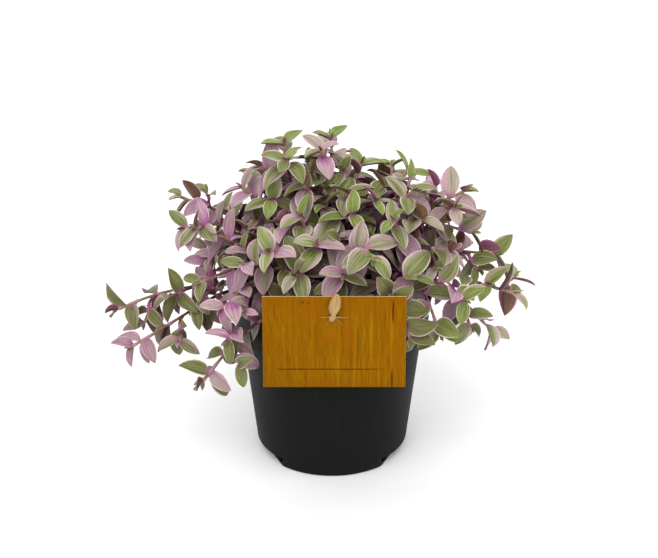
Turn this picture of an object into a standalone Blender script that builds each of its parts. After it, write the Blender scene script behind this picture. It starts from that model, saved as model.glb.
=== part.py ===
"""Trailing variegated houseplant (Callisia repens) in a 12 cm nursery pot, with a card tied on.

Metres, +Z up. The origin is at the middle of the pot's underside and the card faces -Y.
Each leafy stem stands in its own plain hole in the soil. Its leaves sit in two slowly turning
ranks, roots sunk into the stem. They are fused with it and its side shoots into one solid.
"""
import math
import random

import bmesh
import bpy
from mathutils import Matrix, Vector
from mathutils.bvhtree import BVHTree

# Nursery pot
BASE_RADIUS = 0.0474
TAPER = 0.1135
WALL = 0.0012
FLOOR = 0.0016
COLLAR_Z = 0.084
COLLAR_RADIUS = 0.0603
LIP_RADIUS = 0.0622
POT_HEIGHT = 0.108
POT_SIDES = 36
FLAT_DISTANCE = 0.0426
FLAT_HEIGHT = 0.0060
FLAT_BEARINGS = (-126, -66, 66, 126)
DRAIN_RADIUS = 0.0040
DRAIN_CIRCLE = 0.0290
DRAIN_COUNT = 8

# Soil
SOIL_TOP = 0.0940
SOIL_CLEARANCE = 0.0004
SOIL_SIDES = 24
SOIL_ROUGHNESS = 0.0011

# Card and raffia
CARD_WIDTH = 0.0842
CARD_HEIGHT = 0.0575
CARD_THICKNESS = 0.0009
CARD_TOP = 0.1316
CARD_LEAN = 5.2
CARD_OFFSET = 0.0012
GUARD_PITCH = 25
HOLE_SPACING = 0.0050
HOLE_RADIUS = 0.0009
HOLE_DROP = 0.0125
RAFFIA_RADIUS = 0.0006

# Leafy stems
STEM_RADIUS = 0.0011
STEM_TIP_RADIUS = 0.0007
STEM_SIDES = 3
LONG_STEM_STEPS = 7
SHORT_STEM_STEPS = 5
HOLE_DEPTH = 0.0120
STEM_SINK = 0.0116
STEM_HOLE_RADIUS = 0.0015
STEM_SWELL = 0.0006
ROOT_SPACING = 0.0042
ROOT_LIMIT = 0.0545
LEAF_LENGTH = 0.0194
LEAF_WIDTH = 0.0122
LEAF_FOLD = 0.24
LEAF_STATIONS = ((0.32, 0.94), (0.71, 0.80))
LEAF_THICKNESS = 0.0013
LEAF_GAP = 0.0004
LIGHT = Vector((0.0, -0.42, 0.91))
LEAVES_PER_STEM = 6
LEAVES_PER_LOW_STEM = 12
LEAVES_PER_BRANCH = 4
BRANCH_STEPS = 3
BARE_FOOT = 0.012
BARE_FORK = 0.004
LEAF_SIZES = (0.80, 0.84, 1.0, 1.0, 1.0, 0.96)
LEAF_SPREADS = (54, 58, 66, 70, 74, 78)
LEAF_STEPS = (0.0014, 0.0048, 0.0020, 0.0086, 0.0060, 0.0100)
GROWTH_SEED = 31

# Each shoot's tip: heading from +X in degrees, reach from the axis and height in mm, and the
# tip's pitch above the horizontal in degrees
SHOOTS = (
    # upright shoots on the crown
    (170, 29, 201, 82), (92, 12, 202, 80), (48, 27, 182, 50), (12, 47, 182, 48),
    (164, 12, 184, 66), (175, 55, 173, 38), (352, 31, 178, 52), (300, 18, 178, 58),
    # heads over the card
    (258, 43, 156, 34), (290, 34, 171, 40), (293, 60, 153, -30), (236, 34, 168, 62),
    (277, 52, 141, 22), (247, 56, 141, 14), (231, 58, 153, 24), (222, 69, 145, 10),
    # right of the card
    (316, 66, 136, 18), (302, 67, 127, -22), (332, 60, 166, 30), (338, 52, 181, 44),
    (324, 79, 100, -68), (307, 76, 104, -72), (342, 74, 143, 8), (333, 88, 119, -30),
    (354, 72, 157, 26), (1, 80, 172, 24), (3, 101, 128, -8), (355, 112, 109, -12),
    (341, 102, 95, -40),
    # left of the card
    (180, 92, 169, 22), (190, 90, 155, -12), (196, 72, 153, 30), (204, 86, 128, -16),
    (219, 83, 119, -38), (194, 133, 109, -22), (205, 131, 96, -20), (223, 104, 81, -38),
    # back and sides
    (28, 76, 150, 18), (50, 58, 166, 38), (66, 84, 128, -12), (84, 54, 172, 40),
    (98, 88, 118, -30), (112, 62, 158, 24), (128, 90, 124, -20), (140, 60, 168, 36),
    (154, 88, 136, 2), (35, 98, 108, -36), (162, 84, 122, -26), (60, 99, 112, -34),
    (112, 98, 110, -38), (142, 97, 108, -34), (68, 44, 172, 50),
)
# How far the stems that come low over the lip first rise, in mm, by their place in SHOOTS
LOW_RISES = {34: 27, 35: 25, 36: 26}
# Side shoots: the stem's place in SHOOTS, the fork's distance back from that stem's tip in mm,
# and the side shoot's own tip as above
BRANCHES = (
    (34, 48, 198, 104, 118, 10), (34, 24, 196, 118, 100, -50), (35, 36, 211, 106, 99, -40),
    (36, 24, 234, 92, 94, -50), (36, 44, 226, 88, 104, -50), (29, 20, 180, 76, 171, 20),
    (30, 16, 195, 84, 158, 10), (26, 20, 358, 90, 122, -20), (27, 22, 350, 96, 118, 10),
    (28, 24, 338, 90, 98, -50), (27, 8, 1, 113, 114, 10), (0, 22, 175, 44, 187, 40),
    (47, 22, 172, 80, 118, -30), (24, 14, 3, 86, 143, -16), (25, 26, 7, 64, 174, 30),
    (5, 22, 198, 38, 172, 20), (9, 26, 290, 54, 152, -10), (34, 66, 203, 90, 112, -30),
)


def material(name, colour, roughness):
    """A plain Principled BSDF material."""
    made = bpy.data.materials.new(name)
    made.use_nodes = True
    shader = made.node_tree.nodes["Principled BSDF"]
    shader.inputs["Base Color"].default_value = (*colour, 1.0)
    shader.inputs["Roughness"].default_value = roughness
    shader.inputs["Metallic"].default_value = 0.0
    return made


def make_object(name, bm, surface=None):
    """A mesh object from a bmesh, with its faces turned outwards."""
    bmesh.ops.recalc_face_normals(bm, faces=bm.faces)
    mesh = bpy.data.meshes.new(name)
    bm.to_mesh(mesh)
    bm.free()
    thing = bpy.data.objects.new(name, mesh)
    bpy.context.scene.collection.objects.link(thing)
    if surface:
        mesh.materials.append(surface)
    return thing


def shade(thing, degrees):
    """Smooth shading with sharp edges past an angle."""
    thing.data.shade_smooth()
    thing.data.set_sharp_from_angle(angle=math.radians(degrees))


def turned(profile, sides):
    """A closed bmesh turned about Z from (radius, height) points; the ends lie on the axis."""
    bm = bmesh.new()
    rings = []
    for radius, height in profile:
        if radius == 0:
            rings.append([bm.verts.new((0, 0, height))])
            continue
        ring = []
        for i in range(sides):
            angle = math.tau * i / sides
            ring.append(bm.verts.new((radius * math.cos(angle), radius * math.sin(angle), height)))
        rings.append(ring)
    for low, high in zip(rings, rings[1:]):
        for i in range(sides):
            j = (i + 1) % sides
            quad = [low[i % len(low)], low[j % len(low)], high[j % len(high)], high[i % len(high)]]
            corners = list(dict.fromkeys(quad))
            if len(corners) > 2:
                bm.faces.new(corners)
    return bm


def box(bm, size, matrix):
    """Adds a box of the given size to the bmesh."""
    made = bmesh.ops.create_cube(bm, size=1)
    bmesh.ops.scale(bm, vec=size, verts=made["verts"])
    bmesh.ops.transform(bm, matrix=matrix, verts=made["verts"])


def prism(bm, sides, radius, depth, matrix):
    """Adds a closed straight prism, its first corner on its own X axis."""
    bottom = []
    top = []
    for i in range(sides):
        angle = math.tau * i / sides
        x, y = radius * math.cos(angle), radius * math.sin(angle)
        bottom.append(bm.verts.new(matrix @ Vector((x, y, 0))))
        top.append(bm.verts.new(matrix @ Vector((x, y, depth))))
    bm.faces.new(list(reversed(bottom)))
    bm.faces.new(top)
    for i in range(sides):
        j = (i + 1) % sides
        bm.faces.new((bottom[i], bottom[j], top[j], top[i]))


def carve(target, cutter):
    """Cuts the cutter out of the target, applies it and removes the cutter."""
    cut = target.modifiers.new("cut", "BOOLEAN")
    cut.operation = "DIFFERENCE"
    cut.solver = "EXACT"
    cut.object = cutter
    apply_all(target)
    bpy.data.objects.remove(cutter)


def apply_all(target):
    """Replaces the object's mesh by its evaluated one and drops its modifiers."""
    graph = bpy.context.evaluated_depsgraph_get()
    made = bpy.data.meshes.new_from_object(target.evaluated_get(graph))
    old = target.data
    target.modifiers.clear()
    target.data = made
    made.name = target.name
    bpy.data.meshes.remove(old)


def tree_of(thing):
    """A collision tree of an object's mesh in world space."""
    corners = [thing.matrix_world @ v.co for v in thing.data.vertices]
    return BVHTree.FromPolygons(corners, [list(p.vertices) for p in thing.data.polygons])


# ---- pot ----

def outer_radius(z):
    return BASE_RADIUS + TAPER * z


def inner_radius(z):
    return outer_radius(z) - WALL


def build_pot(surface):
    """A tapered pot with an outward collar, a rolled lip and a flat floor with drain holes."""
    ledge = COLLAR_Z + 0.0014
    profile = (
        (0, 0),
        (BASE_RADIUS - 0.0009, 0),
        (outer_radius(0.0009), 0.0009),
        (outer_radius(COLLAR_Z), COLLAR_Z),
        (COLLAR_RADIUS, COLLAR_Z + 0.0008),
        (COLLAR_RADIUS + 0.0008, POT_HEIGHT - 0.0046),
        (LIP_RADIUS, POT_HEIGHT - 0.0037),
        (LIP_RADIUS, POT_HEIGHT - 0.0008),
        (LIP_RADIUS - 0.0007, POT_HEIGHT),
        (COLLAR_RADIUS - 0.0002, POT_HEIGHT),
        (COLLAR_RADIUS - 0.0008, POT_HEIGHT - 0.0008),
        (COLLAR_RADIUS - WALL - 0.0002, ledge + 0.0010),
        (inner_radius(COLLAR_Z), ledge),
        (inner_radius(FLOOR), FLOOR),
        (0, FLOOR),
    )
    pot = make_object("pot", turned(profile, POT_SIDES), surface)
    cuts = bmesh.new()
    for bearing in FLAT_BEARINGS:
        turn = Matrix.Rotation(math.radians(bearing - 90), 4, "Z")
        place = Matrix.Translation((FLAT_DISTANCE + 0.01, 0, FLAT_HEIGHT / 2 - 0.0005))
        box(cuts, (0.02, 0.07, FLAT_HEIGHT + 0.001), turn @ place)
    carve(pot, make_object("pot_cut", cuts))
    drains = bmesh.new()
    for i in range(DRAIN_COUNT):
        angle = math.tau * (i + 0.5) / DRAIN_COUNT
        place = Matrix.Translation((DRAIN_CIRCLE * math.cos(angle), DRAIN_CIRCLE * math.sin(angle), -0.001))
        prism(drains, 8, DRAIN_RADIUS, FLOOR + 0.002, place)
    carve(pot, make_object("pot_drains", drains))
    shade(pot, 35)
    return pot


# ---- soil ----

def soil_height(x, y):
    """The soil's uneven top surface."""
    ripple = math.sin(210 * x + 1.3) * math.cos(170 * y - 0.4) + 0.6 * math.sin(330 * (x + y))
    return SOIL_TOP + SOIL_ROUGHNESS * ripple


def build_soil(roots, surface):
    """The soil fills the pot and has one plain hole for each stem."""
    ledge = COLLAR_Z + 0.0014
    rim = COLLAR_RADIUS - WALL - 0.0002 - SOIL_CLEARANCE
    profile = [
        (0, FLOOR + 0.0003),
        (0.0402, FLOOR + 0.0003),
        (0.0402, FLAT_HEIGHT + 0.0016),
        (inner_radius(FLAT_HEIGHT + 0.002) - SOIL_CLEARANCE, FLAT_HEIGHT + 0.0020),
        (inner_radius(COLLAR_Z) - SOIL_CLEARANCE, ledge + 0.0004),
        (rim, ledge + 0.0015),
    ]
    profile += [(r, SOIL_TOP) for r in (rim, 0.044, 0.028, 0.014)]
    profile += [(0, SOIL_TOP)]
    bm = turned(profile, SOIL_SIDES)
    for v in bm.verts:
        if v.co.z > SOIL_TOP - 0.0001 and v.co.xy.length < 0.05:
            v.co.z = soil_height(v.co.x, v.co.y)
    soil = make_object("soil", bm, surface)
    holes = bmesh.new()
    for root in roots:
        place = Matrix.Translation((root.x, root.y, SOIL_TOP - HOLE_DEPTH))
        prism(holes, STEM_SIDES, STEM_HOLE_RADIUS, HOLE_DEPTH + 0.006, place)
    carve(soil, make_object("soil_holes", holes))
    shade(soil, 50)
    return soil


# ---- card and raffia ----

def card_frame():
    """The card's frame: X across, Z up the card, -Y out of its printed face, at its top middle."""
    lean = Matrix.Rotation(-math.radians(CARD_LEAN), 4, "X")
    rest_z = POT_HEIGHT - 0.0008
    drop = (CARD_TOP - rest_z) * math.tan(math.radians(CARD_LEAN))
    y = -LIP_RADIUS - 0.0003 / math.cos(math.radians(CARD_LEAN)) - 0.00005 + drop
    return Matrix.Translation((CARD_OFFSET, y, CARD_TOP)) @ lean


def build_card(surface):
    """A flat card leaning on the pot's lip, with two small holes for the raffia."""
    frame = card_frame()
    bm = bmesh.new()
    size = (CARD_WIDTH, CARD_THICKNESS, CARD_HEIGHT)
    box(bm, size, frame @ Matrix.Translation((0, -CARD_THICKNESS / 2, -CARD_HEIGHT / 2)))
    card = make_object("card", bm, surface)
    holes = bmesh.new()
    for side in (-1, 1):
        spot = Matrix.Translation((side * HOLE_SPACING / 2 - 0.0002, 0.001, -HOLE_DROP))
        prism(holes, 8, HOLE_RADIUS, 0.004, frame @ spot @ Matrix.Rotation(math.radians(90), 4, "X"))
    carve(card, make_object("card_holes", holes))
    return card


def card_guard():
    """A collision tree of a slab rising forward from the card's top edge: no leaf hangs below it."""
    bm = bmesh.new()
    rise = Matrix.Rotation(-math.radians(GUARD_PITCH), 4, "X")
    edge = Matrix.Translation((CARD_OFFSET, card_frame().translation.y, CARD_TOP))
    box(bm, (CARD_WIDTH, 0.034, 0.0004), edge @ rise @ Matrix.Translation((0, -0.0165, 0)))
    tree = BVHTree.FromBMesh(bm)
    bm.free()
    return tree


def ribbon(points, across, half_widths, thickness):
    """A closed flat strip along points, its width along the given direction."""
    bm = bmesh.new()
    rings = []
    for i, (point, half) in enumerate(zip(points, half_widths)):
        ahead = points[min(i + 1, len(points) - 1)] - points[max(i - 1, 0)]
        out = ahead.cross(across).normalized() * thickness / 2
        side = across * half
        rings.append([bm.verts.new(p) for p in (point - side - out, point + side - out,
                                                point + side + out, point - side + out)])
    bm.faces.new(rings[0])
    bm.faces.new(list(reversed(rings[-1])))
    for low, high in zip(rings, rings[1:]):
        for i in range(4):
            j = (i + 1) % 4
            bm.faces.new((low[i], high[i], high[j], low[j]))
    bmesh.ops.triangulate(bm, faces=bm.faces)
    return bm


def build_tie(surface):
    """A flat raffia loop over the card's top edge, pinched at a knot whose ends pass the holes."""
    frame = card_frame()
    out = CARD_THICKNESS

    def spot(x, forward, up):
        return frame @ Vector((x * 0.001 - 0.0002, -out - forward * 0.001, up * 0.001))

    across = (frame.to_3x3() @ Vector((1, 0, 0))).normalized()
    pieces = []
    loop = [spot(0.1, 1.2, -12.6), spot(0.3, 1.9, -10.0), spot(0.8, 2.6, -6.0), spot(1.4, 2.6, -2.4),
            spot(1.8, 1.9, 0.8), spot(1.9, 1.2, 2.2)]
    pieces.append(ribbon(loop, across, [0.0011, 0.0029, 0.0042, 0.0040, 0.0023, 0.0006], 0.0008))
    strand = [spot(-3.1, 1.0, -12.5), spot(-1.2, 1.2, -12.6), spot(1.2, 1.2, -12.6), spot(3.1, 1.0, -12.5)]
    up = (frame.to_3x3() @ Vector((0, 0, 1))).normalized()
    pieces.append(ribbon(strand, up, [0.0007, 0.0012, 0.0012, 0.0007], 0.0014))
    for side in (-1, 1):
        x = side * HOLE_SPACING * 500
        pegs = [spot(x, 1.1, -12.5), spot(x, 0.2, -12.5), spot(x, -1.9, -12.5)]
        pieces.append(ribbon(pegs, across, [0.0006] * 3, 2 * RAFFIA_RADIUS * 0.8))
    back = [spot(-3.2, -2.0, -12.5), spot(0, -2.1, -12.5), spot(3.2, -2.0, -12.5)]
    pieces.append(ribbon(back, up, [0.0008] * 3, 0.0008))
    ends = [spot(0.2, 1.3, -12.8), spot(4.4, 1.3, -13.4), spot(8.6, 0.9, -13.0)]
    pieces.append(ribbon(ends, up, [0.0005, 0.0004, 0.0003], 0.0006))
    tie = make_object("raffia_tie", pieces[0], surface)
    fuse(tie, [make_object(f"strand_{i}", bm) for i, bm in enumerate(pieces[1:])])
    return tie


def fuse(target, others):
    """Joins the others to the target by one Boolean union on their collection."""
    group = bpy.data.collections.new("fuse")
    bpy.context.scene.collection.children.link(group)
    for other in others:
        group.objects.link(other)
    union = target.modifiers.new("fuse", "BOOLEAN")
    union.operation = "UNION"
    union.operand_type = "COLLECTION"
    union.solver = "EXACT"
    union.collection = group
    apply_all(target)
    for other in others:
        bpy.data.objects.remove(other)
    bpy.data.collections.remove(group)


# ---- leafy stems ----

def stem_root(index, heading, reach):
    """Stems stand apart in the soil, each on the side it leans to."""
    inward = (0.0, 0.010, 0.020, 0.005, 0.015)[index % 5]
    radius = max(0.004, min(0.050, 0.62 * reach) - inward)
    turn = heading + 0.34 * math.sin(2.3 * index)
    return Vector((radius * math.cos(turn), radius * math.sin(turn), SOIL_TOP))


def bezier(a, b, c, d, t):
    u = 1 - t
    return a * u ** 3 + b * (3 * u * u * t) + c * (3 * u * t * t) + d * t ** 3


def stem_course(root, tip, aim, rise, reach_back):
    """Points along a stem: straight up out of its hole, over, and out to the tip."""
    start = root + Vector((0, 0, 0.002))
    handle = start + Vector((0, 0, rise))
    back = tip - aim * reach_back
    course = [root - Vector((0, 0, STEM_SINK)), start]
    steps = LONG_STEM_STEPS if (tip - start).length > 0.068 else SHORT_STEM_STEPS
    for i in range(1, steps + 1):
        course.append(bezier(start, handle, back, tip, (i / steps) ** 0.92))
    return course


def stem_tree(course, planted=True, swell=0.0):
    """A collision tree of a stem."""
    bm = stem_mesh(course, planted, swell)
    tree = BVHTree.FromBMesh(bm)
    bm.free()
    return tree


def stem_is_clear(course, trees, planted=True):
    """True when a slightly swollen stem touches none of the solids already placed."""
    wide = stem_tree(course, planted, STEM_SWELL)
    return not any(wide.overlap(tree) for tree in trees)


def plan_stems(fixed):
    """Every stem's course, bent clear of the pot, the card and the stems before it."""
    rng = random.Random(GROWTH_SEED)
    courses = []
    trees = list(fixed)
    for index, (heading, reach, height, pitch) in enumerate(SHOOTS):
        turn = math.radians(heading)
        level = math.radians(pitch)
        out = Vector((math.cos(turn), math.sin(turn), 0))
        aim = out * math.cos(level) + Vector((0, 0, math.sin(level)))
        tip = out * reach * 0.001 + Vector((0, 0, height * 0.001))
        span = (tip - Vector((0, 0, SOIL_TOP))).length
        for attempt in range(80):
            wander = 0.0012 * attempt ** 0.7
            root = stem_root(index, turn, reach * 0.001)
            root += Vector((rng.uniform(-wander, wander), rng.uniform(-wander, wander), 0))
            rise = span * 0.42 + max(0, 0.115 - tip.z) * 0.9 + 0.0010 * attempt
            if index in LOW_RISES:
                rise = LOW_RISES[index] * 0.001 + 0.0004 * attempt
            course = stem_course(root, tip, aim, rise, span * (0.34 + 0.012 * (attempt % 7)))
            if root.xy.length > ROOT_LIMIT:
                continue
            if any((root - other[0]).xy.length < ROOT_SPACING for other in courses):
                continue
            if stem_is_clear(course, trees):
                courses.append(course)
                trees.append(stem_tree(course))
                break
    return courses


def plan_branches(courses, fixed):
    """Every side shoot's course, from inside its stem to its own tip, clear of the other stems."""
    rng = random.Random(GROWTH_SEED + 2)
    trees = [stem_tree(course) for course in courses]
    branches = []
    for stem, back, heading, reach, height, pitch in BRANCHES:
        turn, level = math.radians(heading), math.radians(pitch)
        out = Vector((math.cos(turn), math.sin(turn), 0))
        aim = out * math.cos(level) + Vector((0, 0, math.sin(level)))
        wished = out * reach * 0.001 + Vector((0, 0, height * 0.001))
        fork, ahead, side = point_at(frames_along(courses[stem]), back * 0.001)
        others = fixed + trees[:stem] + trees[stem + 1:]
        for attempt in range(60):
            wander = 0.0008 * attempt ** 0.7
            tip = wished + Vector([rng.uniform(-wander, wander) for axis in range(3)])
            pull = (tip - fork).length * 0.35
            course = [bezier(fork, fork + ahead * pull, tip - aim * pull, tip, i / BRANCH_STEPS)
                      for i in range(BRANCH_STEPS + 1)]
            if stem_is_clear(course, others, False):
                branches.append(course)
                trees.append(stem_tree(course, False))
                break
    return branches


def frames_along(course, planted=True):
    """A tangent and a steadily carried side direction at each point of a course."""
    side = Vector((1, 0, 0))
    frames = []
    for i, point in enumerate(course):
        ahead = (course[min(i + 1, len(course) - 1)] - course[max(i - 1, 0)]).normalized()
        if planted and i < 2:
            ahead = Vector((0, 0, 1))
        side = (side - ahead * side.dot(ahead)).normalized()
        frames.append((point, ahead, side))
    return frames


def point_at(frames, distance_from_tip):
    """The frame at a distance along the course, measured back from its tip."""
    left = distance_from_tip
    for i in range(len(frames) - 1, 0, -1):
        step = (frames[i][0] - frames[i - 1][0]).length
        if left <= step:
            mix = left / step
            point = frames[i][0].lerp(frames[i - 1][0], mix)
            ahead = frames[i][1].lerp(frames[i - 1][1], mix).normalized()
            side = frames[i][2].lerp(frames[i - 1][2], mix)
            side = (side - ahead * side.dot(ahead)).normalized()
            return point, ahead, side
        left -= step
    return frames[0]


def leaf_blade(root, along, normal, length, width, droop, swell):
    """A closed pointed blade: folded up from its midrib, arched down to its tip."""
    across = along.cross(normal).normalized()
    half = width / 2 + swell
    reach = length + swell
    thick = LEAF_THICKNESS / 2 + swell

    def mid(t):
        return root + along * reach * t * (1 - 0.12 * droop * t) - normal * reach * droop * 0.42 * t * t

    bm = bmesh.new()
    base = bm.verts.new(mid(0) - along * swell)
    last = None
    for t, share in LEAF_STATIONS:
        centre = mid(t)
        wide = half * share
        rim = normal * wide * LEAF_FOLD
        row = (
            bm.verts.new(centre - across * wide + rim),
            bm.verts.new(centre + normal * thick),
            bm.verts.new(centre + across * wide + rim),
            bm.verts.new(centre - normal * thick),
        )
        for i in range(4):
            j = (i + 1) % 4
            if last is None:
                bm.faces.new((base, row[i], row[j]))
            else:
                flip = i in (0, 3)
                a, b, c, d = last[i], row[i], row[j], last[j]
                if flip:
                    bm.faces.new((a, b, c))
                    bm.faces.new((a, c, d))
                else:
                    bm.faces.new((a, b, d))
                    bm.faces.new((b, c, d))
        last = row
    point = bm.verts.new(mid(1))
    for i in range(4):
        bm.faces.new((last[i], point, last[(i + 1) % 4]))
    return bm


def outer_blade(point, along, normal, length, width, droop, swell):
    """The blade past its root, for keeping the leaves of one stem out of each other."""
    start = point + along * length * 0.30 - normal * length * droop * 0.04
    return leaf_blade(start, along, normal, length * 0.68, width * 0.9, droop, swell)


def blade_tree(bm):
    """The blade's collision tree, its middle and its reach; frees the bmesh."""
    bm.normal_update()
    tree = BVHTree.FromBMesh(bm)
    middle = sum((v.co for v in bm.verts), Vector()) / len(bm.verts)
    size = max((v.co - middle).length for v in bm.verts)
    bm.free()
    return tree, middle, size


def stem_mesh(course, planted=True, swell=0.0):
    """A slim closed tube along the course. A planted one stands straight in its hole."""
    frames = frames_along(course, planted)
    bm = bmesh.new()
    rings = []
    for order, (point, ahead, side) in enumerate(frames):
        other = ahead.cross(side)
        share = order / (len(frames) - 1)
        radius = STEM_RADIUS + (STEM_TIP_RADIUS - STEM_RADIUS) * share + swell
        ring = []
        for i in range(STEM_SIDES):
            angle = math.tau * i / STEM_SIDES
            ring.append(bm.verts.new(point + (side * math.cos(angle) + other * math.sin(angle)) * radius))
        rings.append(ring)
    bm.faces.new(list(reversed(rings[0])))
    bm.faces.new(rings[-1])
    for low, high in zip(rings, rings[1:]):
        for i in range(STEM_SIDES):
            j = (i + 1) % STEM_SIDES
            bm.faces.new((low[i], low[j], high[j]))
            bm.faces.new((low[i], high[j], high[i]))
    return bm


def leaf_plan(course, count, planted, rng):
    """Where the leaves of one stem want to be: young and close at the tip, older below."""
    frames = frames_along(course, planted)
    bare = course[1:] if planted else course
    total = sum((a - b).length for a, b in zip(bare[1:], bare))
    turn = rng.uniform(0, math.tau)
    back = 0.0008
    stretch = min(1.7, max(1.0, (total - 0.020) / 0.046))
    plan = []
    for order in range(count):
        if back > total - (BARE_FOOT if planted else BARE_FORK):
            break
        kind = order if order < len(LEAF_SIZES) else order % 2 + len(LEAF_SIZES) - 2
        point, ahead, side = point_at(frames, back)
        spread = math.radians(LEAF_SPREADS[kind] + rng.uniform(-6, 6))
        size = LEAF_SIZES[kind] * rng.uniform(0.92, 1.06)
        plan.append((point, ahead, side, turn, spread, size, 0.25 + 0.35 * rng.random()))
        turn += math.pi + (0.0 if order % 2 == 0 else math.radians(68)) + rng.uniform(-0.2, 0.2)
        back += LEAF_STEPS[kind] * (stretch if order > 1 else 1.0)
    return plan


def leaf_pose(wish, twist, tilt):
    """The blade's direction and its upper side's normal, turned to the stem's tip and the light."""
    point, ahead, side, turn, spread, size, droop = wish
    other = ahead.cross(side)
    radial = side * math.cos(turn + twist) + other * math.sin(turn + twist)
    along = (radial * math.sin(spread + tilt) + ahead * math.cos(spread + tilt)).normalized()
    up = ahead * 0.62 + LIGHT * 0.58
    normal = (up - along * up.dot(along))
    if normal.length < 0.05:
        normal = ahead - along * ahead.dot(along)
    return along, normal.normalized()


def place_leaves(courses, stems, fixed):
    """Tries each leaf where it wants to be, then turned, tilted or smaller, until it is clear.

    The courses past those of SHOOTS are side shoots.
    """
    rng = random.Random(GROWTH_SEED + 1)
    placed = []
    leaves = [[] for _ in courses]
    outers = [[] for _ in courses]
    plans = []
    for index, course in enumerate(courses):
        count = LEAVES_PER_LOW_STEM if index in LOW_RISES else LEAVES_PER_STEM
        if index >= len(SHOOTS):
            count = LEAVES_PER_BRANCH
        plans.append(leaf_plan(course, count, index < len(SHOOTS), rng))
    tries = [(0, 0, 1)]
    tries += [(a, b, 1) for a in (0.3, -0.3, 0.6, -0.6) for b in (0, 0.25, -0.25)]
    tries += [(a, b, 0.82) for a in (0, 0.45, -0.45, 0.9, -0.9) for b in (0, 0.35, -0.35)]
    tries += [(a, b, 0.66) for a in (0, 0.7, -0.7) for b in (0, 0.4, -0.4)]
    for order in range(LEAVES_PER_LOW_STEM):
        for index, plan in enumerate(plans):
            if order >= len(plan):
                continue
            wish = plan[order]
            point, size, droop = wish[0], wish[5], wish[6]
            for twist, tilt, scale in tries:
                along, normal = leaf_pose(wish, twist, tilt)
                length = LEAF_LENGTH * size * scale
                width = LEAF_WIDTH * size * scale
                wide = leaf_blade(point, along, normal, length, width, droop, LEAF_GAP)
                tree, middle, reach = blade_tree(wide)
                if any(tree.overlap(other) for other in fixed):
                    continue
                if any(i != index and tree.overlap(other) for i, other in enumerate(stems)):
                    continue
                near = (t for i, t, m, r in placed if i != index and (m - middle).length < r + reach)
                if any(tree.overlap(other) for other in near):
                    continue
                outer = blade_tree(outer_blade(point, along, normal, length, width, droop, 0.0))[0]
                if any(outer.overlap(other) for other in outers[index]):
                    continue
                outers[index].append(outer)
                exact = leaf_blade(point, along, normal, length, width, droop, 0)
                placed.append((index, *blade_tree(exact)))
                leaves[index].append((point, along, normal, length, width, droop))
                break
    return leaves


def build_stems(courses, fixed, surface):
    """One solid for each leafy stem, with its side shoots and leaves."""
    branches = plan_branches(courses, fixed)
    trees = [stem_tree(course) for course in courses] + [stem_tree(course, False) for course in branches]
    leaves = place_leaves(courses + branches, trees, fixed)
    for index, course in enumerate(courses):
        name = f"leafy_stem_{index + 1:02d}"
        stem = make_object(name, stem_mesh(course), surface)
        grown = [index]
        pieces = []
        for i, branch in enumerate(BRANCHES):
            if branch[0] == index:
                grown.append(len(courses) + i)
                pieces.append(make_object(f"{name}_branch_{i}", stem_mesh(branches[i], False)))
        for i in grown:
            pieces += [make_object(f"{name}_leaf", leaf_blade(*leaf, 0)) for leaf in leaves[i]]
        fuse(stem, pieces)
        shade(stem, 40)


def build():
    for thing in list(bpy.data.objects):
        bpy.data.objects.remove(thing)
    pot = build_pot(material("pot_black", (0.014, 0.016, 0.016), 0.55))
    card = build_card(material("card_amber", (0.410, 0.157, 0.003), 0.6))
    tie = build_tie(material("raffia_tan", (0.610, 0.402, 0.171), 0.8))
    fixed = [tree_of(thing) for thing in (pot, card, tie)]
    courses = plan_stems(fixed)
    soil = build_soil([course[0] for course in courses], material("soil_dark", (0.030, 0.018, 0.012), 0.95))
    fixed += [tree_of(soil), card_guard()]
    build_stems(courses, fixed, material("leafy_stem", (0.250, 0.220, 0.190), 0.5))


build()
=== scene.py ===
import math
import random
from collections import namedtuple

import bmesh
import bpy
from mathutils import Matrix, Vector
from mathutils.bvhtree import BVHTree
from mathutils.kdtree import KDTree


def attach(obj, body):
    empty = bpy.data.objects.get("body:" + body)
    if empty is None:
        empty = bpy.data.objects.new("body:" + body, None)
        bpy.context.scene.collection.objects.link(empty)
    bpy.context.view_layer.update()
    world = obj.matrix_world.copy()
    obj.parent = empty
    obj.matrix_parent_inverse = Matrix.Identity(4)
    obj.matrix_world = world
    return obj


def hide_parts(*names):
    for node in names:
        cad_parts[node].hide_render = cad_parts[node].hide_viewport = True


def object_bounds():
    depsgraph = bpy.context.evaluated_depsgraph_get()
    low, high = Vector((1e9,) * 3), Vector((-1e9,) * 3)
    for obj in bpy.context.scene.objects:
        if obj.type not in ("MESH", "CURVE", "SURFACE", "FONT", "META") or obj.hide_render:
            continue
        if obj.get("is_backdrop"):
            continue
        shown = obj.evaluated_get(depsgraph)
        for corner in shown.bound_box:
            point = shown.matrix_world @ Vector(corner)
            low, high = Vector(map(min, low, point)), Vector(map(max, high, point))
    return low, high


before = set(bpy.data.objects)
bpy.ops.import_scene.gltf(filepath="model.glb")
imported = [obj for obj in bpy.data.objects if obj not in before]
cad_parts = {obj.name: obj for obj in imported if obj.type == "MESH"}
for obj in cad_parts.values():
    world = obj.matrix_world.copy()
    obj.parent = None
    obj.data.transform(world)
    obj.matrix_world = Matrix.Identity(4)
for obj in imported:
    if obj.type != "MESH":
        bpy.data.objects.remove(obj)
cad_low, cad_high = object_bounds()


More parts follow.
